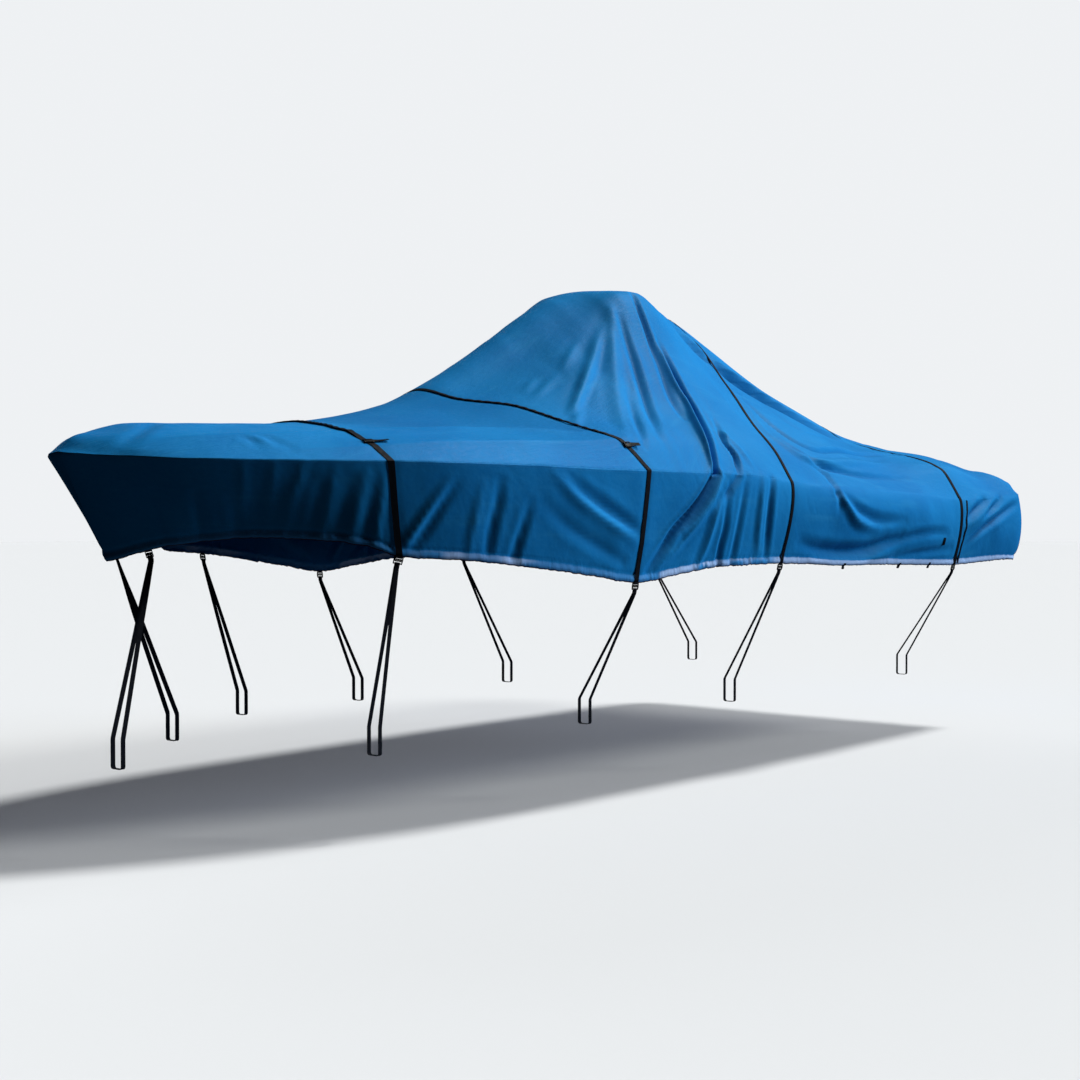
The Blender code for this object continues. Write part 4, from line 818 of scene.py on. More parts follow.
heights += skirt * np.sin(np.pi * np.clip(v, 0, 1)) ** 0.7 * (
    0.0050 * noise(X / 0.16, v * 1.2 + 3 * (W > 0), 9)
    + 0.0010 * noise(X / 0.060, v * 1.6 + 3 * (W > 0), 10) * ramp(v, 0.2, 0.8))
heights += is_stern * (0.006 * noise(W / 0.16, (X - 7.05) * 3, 11))

# The gunwale is a hard line forward and is draped round softly aft, as is the stern.
tall = 0.45
seam_d = np.where(on_top, (1 - np.abs(np.clip(W, -1, 1))) * half, v * tall)
stern_d = np.where(is_stern, (X - 7.05) / 0.5 * tall, np.where(on_top, 7.05 - X, 7.05 - X))
corner_d = np.abs(7.05 - X)
soft = np.exp(-(seam_d / 0.085) ** 2) * ramp(X, 4.15, 4.75)
soft = np.maximum(soft, np.exp(-(stern_d / 0.11) ** 2) * (on_top | is_stern))
soft = np.maximum(soft, np.exp(-(corner_d / 0.10) ** 2) * skirt)
soft = np.maximum(soft, 0.35 * np.exp(-((X) / 0.05) ** 2) * on_top)
# the bow's tip is blunt: deck, stem and both skirts turn into one another
tip = np.array([0.0, 0.0, float(base(0.0, 0.0)[2])])
tip_d = np.linalg.norm((points - tip) * (1.0, 0.55, 1.0), axis=1)
soft = np.maximum(soft, 0.9 * np.exp(-(tip_d / 0.090) ** 2))
at_hem = (~on_top) & (np.where(is_stern, (X - 7.05) / 0.5, v) > 0.97)
hem_corner = at_hem & (X > 6.8)
soft *= ~(at_hem & ~hem_corner)
hem_z = points[hem_corner, 2].copy()
points = relax(points, index, soft, 46)
points[hem_corner, 2] = 0.7 * hem_z + 0.3 * points[hem_corner, 2]

# The folds run over the rounded edges.
points = points + normals_of(points, index) * heights[:, None]
points = relax(points, index, 0.55 * soft, 4)
points = relax(points, index, np.where(on_top | (v < 0.95), 0.25, 0.0), 2)
normals = normals_of(points, index)


# ---------------------------------------------------------------- mesh helpers
def to_part(p):
    return np.asarray(p, float) - ORIGIN


def new_object(name, verts, faces, mats, uvs=None, smooth=True, face_mats=None):
    mesh = bpy.data.meshes.new(name)
    faces = np.asarray(faces, np.int64) if not isinstance(faces, list) else faces
    if isinstance(faces, np.ndarray):
        n, k = faces.shape
        mesh.vertices.add(len(verts))
        mesh.vertices.foreach_set("co", np.ascontiguousarray(to_part(verts), np.float32).reshape(-1))
        mesh.loops.add(n * k)
        mesh.loops.foreach_set("vertex_index", faces.reshape(-1).astype(np.int32))
        mesh.polygons.add(n)
        mesh.polygons.foreach_set("loop_start", (np.arange(n) * k).astype(np.int32))
        mesh.polygons.foreach_set("loop_total", np.full(n, k, np.int32))
        mesh.update(calc_edges=True)
    else:
        mesh.from_pydata([tuple(p) for p in to_part(verts)], [], [tuple(f) for f in faces])
        mesh.update()
    for layer, data in (uvs or {}).items():
        uv = mesh.uv_layers.new(name=layer)
        loops = np.empty(len(mesh.loops), np.int32)
        mesh.loops.foreach_get("vertex_index", loops)
        uv.data.foreach_set("uv", np.ascontiguousarray(data[loops], np.float32).reshape(-1))
    for m in (mats if isinstance(mats, (list, tuple)) else [mats]):
        mesh.materials.append(m)
    if face_mats is not None:
        mesh.polygons.foreach_set("material_index", np.asarray(face_mats, np.int32))
    mesh.polygons.foreach_set("use_smooth", np.full(len(mesh.polygons), smooth))
    mesh.validate()
    mesh.update()
    obj = bpy.data.objects.new(name, mesh)
    bpy.context.scene.collection.objects.link(obj)
    return obj


def grid_normals(p, flip):
    n = unit(np.cross(np.gradient(p, axis=0), np.gradient(p, axis=1)))
    return -n if flip else n


def sheet_mesh(name, outer, inner, mats, uvs, flip, shade):
    """Closed sheet between two grids of the same shape, its edges joined."""
    rows, cols = outer.shape[:2]
    n = rows * cols
    ids = np.arange(n).reshape(rows, cols)
    quad = np.stack([ids[:-1, :-1], ids[1:, :-1], ids[1:, 1:], ids[:-1, 1:]], -1).reshape(-1, 4)
    back = n + quad[:, ::-1]
    loop = np.concatenate([ids[:-1, 0], ids[-1, :-1], ids[1:, -1][::-1], ids[0, 1:][::-1]])
    nxt = np.roll(loop, -1)
    rim = np.stack([loop, n + loop, n + nxt, nxt], -1)
    faces = np.concatenate([quad, back, rim])
    if flip:
        faces = faces[:, ::-1]
    verts = np.concatenate([outer.reshape(-1, 3), inner.reshape(-1, 3)])
    both = {k: np.concatenate([u.reshape(-1, 2), u.reshape(-1, 2)]) for k, u in uvs.items()}
    obj = new_object(name, verts, faces, mats, both)
    shade = np.concatenate([shade.reshape(-1, 3), -shade.reshape(-1, 3)])
    obj.data.normals_split_custom_set_from_vertices([tuple(q_) for q_ in shade])
    return obj


def lengths(grid, axis):
    """Distance along an axis of a grid, from its start."""
    d = np.linalg.norm(np.diff(grid, axis=axis), axis=-1)
    zero = np.zeros_like(np.take(d, [0], axis=axis))
    return np.concatenate([zero, np.cumsum(d, axis=axis)], axis=axis)


def finer(grid, k):
    """Catmull-Rom rows added between a grid's rows, k for each."""
    g = np.concatenate([2 * grid[:1] - grid[1:2], grid, 2 * grid[-1:] - grid[-2:-1]])
    n = len(grid)
    out = np.empty(((n - 1) * k + 1,) + grid.shape[1:])
    a, b, c, d = g[:n - 1], g[1:n], g[2:n + 1], g[3:n + 2]
    for i in range(k):
        t = i / k
        out[i:(n - 1) * k:k] = b if i == 0 else 0.5 * (
            2 * b + (c - a) * t + (2 * a - 5 * b + 4 * c - d) * t * t
            + (3 * b - a - 3 * c + d) * t ** 3)
    out[-1] = grid[-1]
    return out


def unit(v):
    v = np.asarray(v, float)
    return v / np.maximum(np.linalg.norm(v, axis=-1, keepdims=True), 1e-12)


# ---------------------------------------------------------------- materials
class Nodes:
    """Short way to wire a node tree."""

    def __init__(self, tree):
        self.tree = tree

    def add(self, kind, inputs=None, **props):
        n = self.tree.nodes.new(kind)
        for k, val in props.items():
            setattr(n, k, val)
        for k, val in (inputs or {}).items():
            if isinstance(val, bpy.types.NodeSocket):
                self.tree.links.new(val, n.inputs[k])
            else:
                n.inputs[k].default_value = val
        return n

    def math(self, op, a, b=0.0, c=0.0, clamp=False):
        n = self.add("ShaderNodeMath", {0: a, 1: b, 2: c}, operation=op, use_clamp=clamp)
        return n.outputs[0]

    def span(self, value, a, b, lo=0.0, hi=1.0, smooth=True):
        n = self.add("ShaderNodeMapRange", {"Value": value, "From Min": a, "From Max": b,
                                            "To Min": lo, "To Max": hi},
                     interpolation_type="SMOOTHSTEP" if smooth else "LINEAR")
        return n.outputs["Result"]

    def mix(self, fac, a, b, blend="MIX"):
        n = self.add("ShaderNodeMix", data_type="RGBA", blend_type=blend)
        for k, val in ((0, fac), (6, a), (7, b)):
            if isinstance(val, bpy.types.NodeSocket):
                self.tree.links.new(val, n.inputs[k])
            else:
                n.inputs[k].default_value = val
        return n.outputs[2]


def new_material(name):
    mat = bpy.data.materials.new(name)
    mat.use_nodes = True
    nt = mat.node_tree
    nt.nodes.clear()
    k = Nodes(nt)
    out = k.add("ShaderNodeOutputMaterial")
    bsdf = k.add("ShaderNodeBsdfPrincipled")
    nt.links.new(bsdf.outputs[0], out.inputs["Surface"])
    return mat, k, bsdf


BLUE = (0.0080, 0.176, 0.470, 1)
BLUE_DEEP = (0.0050, 0.138, 0.403, 1)
# worn tone; also the painted highlight on the ridges
BLUE_WORN_AND_HIGHLIGHT = (0.0240, 0.235, 0.520, 1)
# painted highlight on the hem channel
HEM_HIGHLIGHT_BLUE = (0.330, 0.480, 0.780, 1)
HEM_EDGE = (0.030, 0.018, 0.050, 1)
THREAD = (0.035, 0.190, 0.500, 1)
# painted shade for the creases, the steps and the fore deck
BLUE_PAINTED_SHADE = (0.0025, 0.062, 0.205, 1)


def cloth_material():
    mat, k, bsdf = new_material("cover_cloth_blue")
    uv = k.add("ShaderNodeUVMap", uv_map="cloth").outputs[0]
    edge = k.add("ShaderNodeSeparateXYZ", {0: k.add("ShaderNodeUVMap", uv_map="edge").outputs[0]})
    seam, hem = edge.outputs[0], edge.outputs[1]
    split = k.add("ShaderNodeSeparateXYZ", {0: uv})
    u, v_ = split.outputs[0], split.outputs[1]
    # colour: broad fading, faint streaks along the pull and a fine mottle
    broad = k.add("ShaderNodeTexNoise", {"Vector": uv, "Scale": 1.3, "Detail": 3.0, "Roughness": 0.55})
    fine = k.add("ShaderNodeTexNoise", {"Vector": uv, "Scale": 38.0, "Detail": 3.0, "Roughness": 0.6})
    stretch = k.add("ShaderNodeMapping", {"Vector": uv, "Scale": (1.0, 9.0, 1.0)})
    streak = k.add("ShaderNodeTexNoise", {"Vector": stretch.outputs[0], "Scale": 1.8, "Detail": 4.0})
    colour = k.mix(k.span(broad.outputs["Fac"], 0.32, 0.68), BLUE_DEEP, BLUE)
    colour = k.mix(k.span(streak.outputs["Fac"], 0.55, 0.78, 0.0, 0.35), colour, BLUE_WORN_AND_HIGHLIGHT)
    colour = k.mix(k.span(fine.outputs["Fac"], 0.35, 0.70, 0.0, 0.16), colour, BLUE_WORN_AND_HIGHLIGHT)
    # painted shade along the creases and steps, painted highlight on the ridges
    tone = k.add("ShaderNodeSeparateXYZ", {0: k.add("ShaderNodeUVMap", uv_map="tone").outputs[0]})
    uneven = k.span(fine.outputs["Fac"], 0.25, 0.65, 0.65, 1.0)
    colour = k.mix(k.math("MULTIPLY", k.math("MULTIPLY", tone.outputs[0], 0.70), uneven), colour, BLUE_PAINTED_SHADE)
    colour = k.mix(k.math("MULTIPLY", k.math("MULTIPLY", tone.outputs[1], 0.30), uneven), colour, BLUE_WORN_AND_HIGHLIGHT)
    # weave
    warp = k.math("SINE", k.math("MULTIPLY", u, 2 * math.pi / 0.0016))
    weft = k.math("SINE", k.math("MULTIPLY", v_, 2 * math.pi / 0.0016))
    weave = k.math("MULTIPLY", warp, weft)
    colour = k.mix(k.span(weave, -1.0, 1.0, 0.0, 0.07, False), colour, BLUE_DEEP)
    # rubbed along the gunwale seam
    rub = k.math("MULTIPLY", k.span(seam, 0.0, 0.012, 1.0, 0.0),
                 k.span(fine.outputs["Fac"], 0.45, 0.62))
    colour = k.mix(k.math("MULTIPLY", rub, 0.30), colour, BLUE_WORN_AND_HIGHLIGHT)
    # hem channel with a painted highlight on its band, and its dark bound edge
    mark = k.add("ShaderNodeSeparateXYZ", {0: k.add("ShaderNodeUVMap", uv_map="mark").outputs[0]})
    hem_highlight_band = k.math("MULTIPLY", k.span(hem, 0.036, 0.046, 1.0, 0.0), mark.outputs[0])
    colour = k.mix(k.math("MULTIPLY", hem_highlight_band, 0.9), colour, HEM_HIGHLIGHT_BLUE)
    colour = k.mix(k.span(hem, 0.004, 0.0095, 1.0, 0.0), colour, HEM_EDGE)

    def stitches(distance, at, half):
        line = k.math("COMPARE", distance, at, half)
        dash = k.math("GREATER_THAN", k.math("FRACT", k.math("DIVIDE", u, 0.0045)), 0.30)
        return k.math("MULTIPLY", line, dash)

    thread = k.math("MAXIMUM", stitches(seam, 0.006, 0.0007), stitches(seam, 0.013, 0.0007))
    thread = k.math("MAXIMUM", thread, stitches(hem, 0.044, 0.0007))
    colour = k.mix(k.math("MULTIPLY", thread, 0.8), colour, THREAD)
    k.tree.links.new(colour, bsdf.inputs["Base Color"])
    # small crumples, the weave, seams and stitches stand proud or sink in
    crumple = k.add("ShaderNodeTexNoise", {"Vector": uv, "Scale": 9.0, "Detail": 5.0,
                                           "Roughness": 0.55, "Distortion": 0.5})
    pull = k.add("ShaderNodeMapping", {"Vector": uv, "Rotation": (0.0, 0.0, 0.12),
                                       "Scale": (1.0, 5.5, 1.0)})
    creases = k.add("ShaderNodeTexNoise", {"Vector": pull.outputs[0], "Scale": 7.0, "Detail": 5.0,
                                           "Roughness": 0.6, "Distortion": 0.3})
    ridged = k.math("ABSOLUTE", k.math("SUBTRACT", creases.outputs["Fac"], 0.5))
    drop = k.add("ShaderNodeMapping", {"Vector": uv, "Rotation": (0.0, 0.0, 0.10),
                                       "Scale": (2.2, 0.8, 1.0)})
    hanging = k.add("ShaderNodeTexNoise", {"Vector": drop.outputs[0], "Scale": 2.6, "Detail": 2.5,
                                           "Roughness": 0.5, "Distortion": 0.3})
    hung = k.math("ABSOLUTE", k.math("SUBTRACT", hanging.outputs["Fac"], 0.5))
    side = mark.outputs[1]
    lines = k.math("ADD", k.math("MULTIPLY", k.math("MULTIPLY", ridged, 0.0050),
                                 k.math("SUBTRACT", 1.0, side)),
                   k.math("MULTIPLY", k.math("MULTIPLY", hung, 0.0030), side))
    height = k.math("ADD", k.math("MULTIPLY", crumple.outputs["Fac"], 0.0030), lines)
    puck = k.add("ShaderNodeTexNoise", {"Vector": k.add("ShaderNodeMapping", {
        "Vector": uv, "Scale": (9.0, 1.6, 1.0)}).outputs[0], "Scale": 6.0, "Detail": 3.0})
    near_hem = k.span(hem, 0.0, 0.10, 1.0, 0.0)
    height = k.math("ADD", height, k.math("MULTIPLY", k.math("MULTIPLY", puck.outputs["Fac"], near_hem), 0.004))
    height = k.math("SUBTRACT", height, k.math("MULTIPLY", thread, 0.0005))
    height = k.math("ADD", height, k.math("MULTIPLY", weave, 0.00006))
    height = k.math("SUBTRACT", height, k.math("MULTIPLY", k.span(seam, 0.0, 0.0035, 1.0, 0.0), 0.0012))
    bump = k.add("ShaderNodeBump", {"Height": height, "Strength": 0.75, "Distance": 1.0})
    k.tree.links.new(bump.outputs[0], bsdf.inputs["Normal"])
    rough = k.span(fine.outputs["Fac"], 0.3, 0.7, 0.46, 0.58)
    k.tree.links.new(rough, bsdf.inputs["Roughness"])
    bsdf.inputs["Specular IOR Level"].default_value = 0.05
    bsdf.inputs["Specular Tint"].default_value = (0.22, 0.62, 1.0, 1.0)
    bsdf.inputs["Sheen Weight"].default_value = 0.02
    bsdf.inputs["Sheen Roughness"].default_value = 0.45
    bsdf.inputs["Sheen Tint"].default_value = (0.12, 0.50, 1.0, 1.0)
    return mat


def webbing_material(name, rib=0.0030):
    """Black flat webbing: UV across from 0 to 1, and along in metres."""
    mat, k, bsdf = new_material(name)
    split = k.add("ShaderNodeSeparateXYZ", {0: k.add("ShaderNodeUVMap", uv_map="web").outputs[0]})
    across, along = split.outputs[0], split.outputs[1]
    noise_ = k.add("ShaderNodeTexNoise", {"Vector": k.add("ShaderNodeTexCoord").outputs["Object"],
                                          "Scale": 60.0, "Detail": 3.0})
    ribs = k.math("SINE", k.math("MULTIPLY", along, 2 * math.pi / rib))
    cords = k.math("SINE", k.math("MULTIPLY", across, 2 * math.pi * 9))
    weave = k.math("MULTIPLY", ribs, cords)
    edge = k.math("ABSOLUTE", k.math("SUBTRACT", across, 0.5))
    selvedge = k.span(edge, 0.40, 0.46)
    colour = k.mix(k.span(weave, -1.0, 1.0), (0.0014, 0.0022, 0.0050, 1), (0.0040, 0.0058, 0.0115, 1))
    colour = k.mix(k.math("MULTIPLY", selvedge, 0.5), colour, (0.007, 0.008, 0.012, 1))
    colour = k.mix(k.span(noise_.outputs["Fac"], 0.55, 0.75, 0.0, 0.4), colour, (0.008, 0.010, 0.017, 1))
    k.tree.links.new(colour, bsdf.inputs["Base Color"])
    height = k.math("ADD", k.math("MULTIPLY", weave, 0.00022), k.math("MULTIPLY", selvedge, 0.0002))
    bump = k.add("ShaderNodeBump", {"Height": height, "Strength": 0.8, "Distance": 1.0})
    k.tree.links.new(bump.outputs[0], bsdf.inputs["Normal"])
    k.tree.links.new(k.span(noise_.outputs["Fac"], 0.3, 0.7, 0.55, 0.75), bsdf.inputs["Roughness"])
    bsdf.inputs["Specular IOR Level"].default_value = 0.10
    return mat


def plastic_material():
    mat, k, bsdf = new_material("buckle_black")
    coord = k.add("ShaderNodeTexCoord").outputs["Object"]
    grain = k.add("ShaderNodeTexNoise", {"Vector": coord, "Scale": 900.0, "Detail": 2.0})
    scuff = k.add("ShaderNodeTexNoise", {"Vector": coord, "Scale": 70.0, "Detail": 4.0})
    colour = k.mix(k.span(scuff.outputs["Fac"], 0.5, 0.72, 0.0, 0.6), (0.005, 0.005, 0.006, 1),
                   (0.014, 0.014, 0.016, 1))
    k.tree.links.new(colour, bsdf.inputs["Base Color"])
    k.tree.links.new(k.span(scuff.outputs["Fac"], 0.3, 0.7, 0.45, 0.62), bsdf.inputs["Roughness"])
    bsdf.inputs["Specular IOR Level"].default_value = 0.14
    bump = k.add("ShaderNodeBump", {"Height": grain.outputs["Fac"], "Strength": 0.25, "Distance": 0.0004})
    k.tree.links.new(bump.outputs[0], bsdf.inputs["Normal"])
    return mat


CLOTH_MAT = cloth_material()
STRAP_MAT = webbing_material("strap_webbing_black")
TIE_MAT = webbing_material("tie_webbing_black", 0.0026)
PLASTIC = plastic_material()


def seated(obj, slot_name, *nodes):
    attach(obj, "root")
    if nodes:
        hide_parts(*nodes)
    return obj


# ---------------------------------------------------------------- cloth panels
REFINE = 2
SPECS = {"top": ("cover_top", "top_sheet", 1), "port": ("cover_skirt_port", "side_skirt_port", REFINE),
         "starboard": ("cover_skirt_starboard", "side_skirt_starboard", REFINE),
         "stern": ("cover_stern", "stern_skirt", REFINE)}
SHEETS, PANELS = {}, {}
TAB_X = (4.64, 5.40, 5.72)


def hem_puckers(p, n, par, name):
    """Gathers along the elastic hem: p, n are (rows, v) grids; returns moved points."""
    h = lengths(p, 0)[:, -1]
    up = lengths(p[:, ::-1], 1)[:, ::-1]              # distance up from the hem
    seed = {"port": 21, "starboard": 22, "stern": 23}[name]
    wide = noise(h / 0.085, np.zeros_like(h) + 0.5, seed)
    gather = noise(h / 0.024, np.zeros_like(h) + 0.5, seed + 10)
    gather += 0.6 * noise(h / 0.013, np.zeros_like(h) + 7.5, seed + 20)
    amount = 0.35 + 0.65 * np.clip(0.5 + 0.9 * noise(h / 0.35, np.zeros_like(h) + 3.5, seed + 30), 0, 1)
    calm = np.ones_like(h)
    if name != "stern":
        s = par[:, 0, 0]
        sign = -1 if name == "port" else 1
        for xs in STRAP_LINES:
            calm *= 1 - 0.8 * np.exp(-((s - xs[0 if sign < 0 else -1]) / 0.035) ** 2)
        calm *= 1 - 0.35 * ramp(s, 4.1, 4.5) * (1 - ramp(s, 5.9, 6.1))
        for xt in TAB_X:
            calm *= 1 - 0.9 * np.exp(-((p[:, -1, 0] - xt) / 0.03) ** 2)
    fade = np.exp(-(up / 0.045) ** 2)
    far = np.exp(-(up / 0.13) ** 2)
    out = (0.0042 * gather * amount * calm)[:, None] * fade + (0.0060 * wide * amount * calm)[:, None] * far
    # rolled hem channel: proud of the skirt, with a groove at its stitching
    roll = 0.0075 * np.exp(-((up - 0.016) / 0.015) ** 2) - 0.0030 * np.exp(-((up - 0.045) / 0.008) ** 2)
    moved = p + n * (out + roll)[..., None]
    moved[..., 2] += (0.0048 * gather * (0.5 + 0.5 * amount) * calm)[:, None] * fade
    return moved


for name, ids in index.items():
    piece, node, k = SPECS[name]
    p, n = points[ids], normals[ids]
    par = np.stack([X[ids], W[ids]], -1)
    tone = np.stack([crease[ids], painted_highlight[ids]], -1)
    if name in ("port", "starboard"):
        par[..., 1] = (-1 if name == "port" else 1) * (1 + vs)[None, :]
        par[..., 0] = par[..., :1, 0]
    shade = n
    if k > 1:
        seam_line = p[:, 0]
        p, n, par, tone = finer(p, k), unit(finer(n, k)), finer(par, k), np.clip(finer(tone, k), 0, 1)
        at = np.arange(len(p)) / k                    # the seam itself stays on the top's edge
        for axis in range(3):
            p[:, 0, axis] = np.interp(at, np.arange(len(seam_line)), seam_line[:, axis])
    if name != "top":
        p = hem_puckers(p, n, par, name)
        near = np.exp(-(lengths(p, 1) / 0.025) ** 2)[..., None]
        shade = unit(grid_normals(p, FLIP[name]) * (1 - near) + n * near)
    along, across = lengths(p, 0), lengths(p, 1)
    if name == "top":
        seam = np.minimum(across, across[:, -1:] - across) + 5 * ramp(par[..., 0], 3.9, 4.4)
        hem = np.full_like(seam, 5.0)
        across = across - across[:, [p.shape[1] // 2]]
    else:
        seam = across + (5.0 if name == "stern" else 5 * ramp(par[..., 0], 3.9, 4.4))
        hem = across[:, -1:] - across
    st = par[..., 0]
    # painted highlight on the hem channel: faint throughout, patchy from 1.2 to 2.0 and from 2.9, near full aft of 4.0
    # and on the stern
    patch = np.clip(0.5 + 1.3 * noise(along / 0.11, across / 0.05, 41), 0, 1)
    hem_highlight = (0.08 + 0.75 * patch * ramp(st, 1.12, 1.25) * (1 - 0.93 * ramp(st, 1.80, 2.10))
            + 0.85 * ramp(st, 2.76, 2.98) * patch)
    hem_highlight = np.clip(hem_highlight + ramp(st, 3.9, 4.1) * (0.95 - hem_highlight), 0, 1)
    hem_highlight = np.broadcast_to(hem_highlight if name != "stern" else 0.8, seam.shape)
    uvs = {"cloth": np.stack([along, across], -1), "edge": np.stack([seam, hem], -1),
           "mark": np.stack([hem_highlight, np.full_like(seam, 0.0 if name == "top" else 1.0)], -1),
           "tone": tone}
    obj = sheet_mesh(piece, p, p - n * CLOTH, CLOTH_MAT, uvs, FLIP[name], shade)
    seated(obj, "cover_cloth", node)
    SHEETS[name] = obj
    PANELS[name] = (p, n, par)



# ---------------------------------------------------------------- webbing
def ring(width, thick):
    """Outline of flat webbing with rounded edges: rows of (across, out)."""
    a, b = 0.5 * width, 0.5 * thick
    face = np.linspace(-a + b, a - b, 7)
    up = [(x, b) for x in face]
    turn = [(a - 0.30 * b, 0.70 * b), (a, 0.0), (a - 0.30 * b, -0.70 * b)]
    down_ = [(x, -b) for x in face[::-1]]
    back = [(-x, -y) for x, y in turn]
    return np.array(up + turn + down_ + back)


def tube_parts(path, widths, width, thick, waves=None):
    """Rings of webbing along a path: vertices, faces and UVs (across, along)."""
    path = np.asarray(path, float)
    tangent = unit(np.gradient(path, axis=0))
    w = np.asarray(widths, float)
    w = unit(w - tangent * (w * tangent).sum(1, keepdims=True))
    n = np.cross(tangent, w)
    out = ring(width, thick)
    k = len(out)
    verts = (path[:, None] + w[:, None] * out[None, :, :1] + n[:, None] * out[None, :, 1:])
    along = np.concatenate([[0], np.cumsum(np.linalg.norm(np.diff(path, axis=0), axis=1))])
    uv = np.stack([np.broadcast_to(out[:, 0] / width + 0.5, (len(path), k)),
                   np.broadcast_to(along[:, None], (len(path), k))], -1)
    faces = []
    for i in range(len(path) - 1):
        for j in range(k):
            a, b = i * k + j, i * k + (j + 1) % k
            faces.append((a, a + k, b + k, b))
    faces.append(tuple(range(k)))
    last = (len(path) - 1) * k
    faces.append(tuple(last + j for j in reversed(range(k))))
    return verts.reshape(-1, 3), faces, uv.reshape(-1, 2)


def volume(verts, faces):
    total = 0.0
    for f in faces:
        a = verts[f[0]]
        for i in range(1, len(f) - 1):
            total += float(np.dot(a, np.cross(verts[f[i]], verts[f[i + 1]])))
    return total


def joined(name, parts, mat, angle=40):
    """One object from closed shells of (verts, faces, uvs), each turned outwards."""
    verts, faces, uvs, at = [], [], [], 0
    for v_, f_, u_ in parts:
        if volume(v_ - v_.mean(0), f_) < 0:
            f_ = [tuple(reversed(f)) for f in f_]
        verts.append(v_)
        uvs.append(u_)
        faces += [tuple(i + at for i in f) for f in f_]
        at += len(v_)
    obj = new_object(name, np.concatenate(verts), faces, mat, {"web": np.concatenate(uvs)})
    obj.data.set_sharp_from_angle(angle=math.radians(angle))
    return obj


def walk(points_, step=0.02):
    """Straight runs between points cut into short steps."""
    out = [np.asarray(points_[0], float)]
    for a, b in zip(points_[:-1], points_[1:]):
        a, b = np.asarray(a, float), np.asarray(b, float)
        n = max(1, int(math.ceil(np.linalg.norm(b - a) / step)))
        out += [a + (b - a) * i / n for i in range(1, n + 1)]
    return np.array(out)


def rounded(points_, r, times=2):
    """Corners of a path cut back to at most r from each corner, twice."""
    p = [np.asarray(q, float) for q in points_]
    for _ in range(times):
        out = [p[0]]
        for a, b, c in zip(p[:-2], p[1:-1], p[2:]):
            u, w = a - b, c - b
            lu, lw = np.linalg.norm(u), np.linalg.norm(w)
            k = min(r, 0.33 * lu, 0.33 * lw)
            out += [b + u / lu * k, b + w / lw * k]
        p = out + [p[-1]]
        r *= 0.45
    return p


# ---------------------------------------------------------------- over-straps
def strap_grid(k):
    """Cloth points under strap k from hem to hem, its bare base, its normals: (4, n, 3)."""
    row = strips[k]
    cloth, bare, nor = [], [], []
    for i in range(STRAP_CELLS + 1):
        line_p, line_b, line_n = [], [], []
        for name, back in (("port", True), ("top", False), ("starboard", False)):
            if name == "top":
                p, n = PANELS[name][0][row + i, 1:-1], PANELS[name][1][row + i, 1:-1]
                b = grids[name][row + i, 1:-1]
            else:
                c = (len(index[name]) - len(index["top"])) + row + i
                p, n = PANELS[name][0][REFINE * c], PANELS[name][1][REFINE * c]
                b = grids[name][c]
                if back:
                    p, n, b = p[::-1], n[::-1], b[::-1]
            line_p.append(p)
            line_b.append(b)
            line_n.append(n)
        cloth.append(np.concatenate(line_p))
        bare.append(np.concatenate(line_b))
        nor.append(np.concatenate(line_n))
    return np.array(cloth), np.array(bare), np.array(nor)


def taut(h, along, reach):
    """Smallest lift over h that a strap pulled tight would take, over spans of reach."""
    out = h.copy()
    step = float(np.mean(np.diff(along)))
    for _ in range(int((reach / step) ** 2)):
        mid = out.copy()
        mid[1:-1] = 0.5 * (out[:-2] + out[2:])
        out = np.maximum(h, mid)
    return out


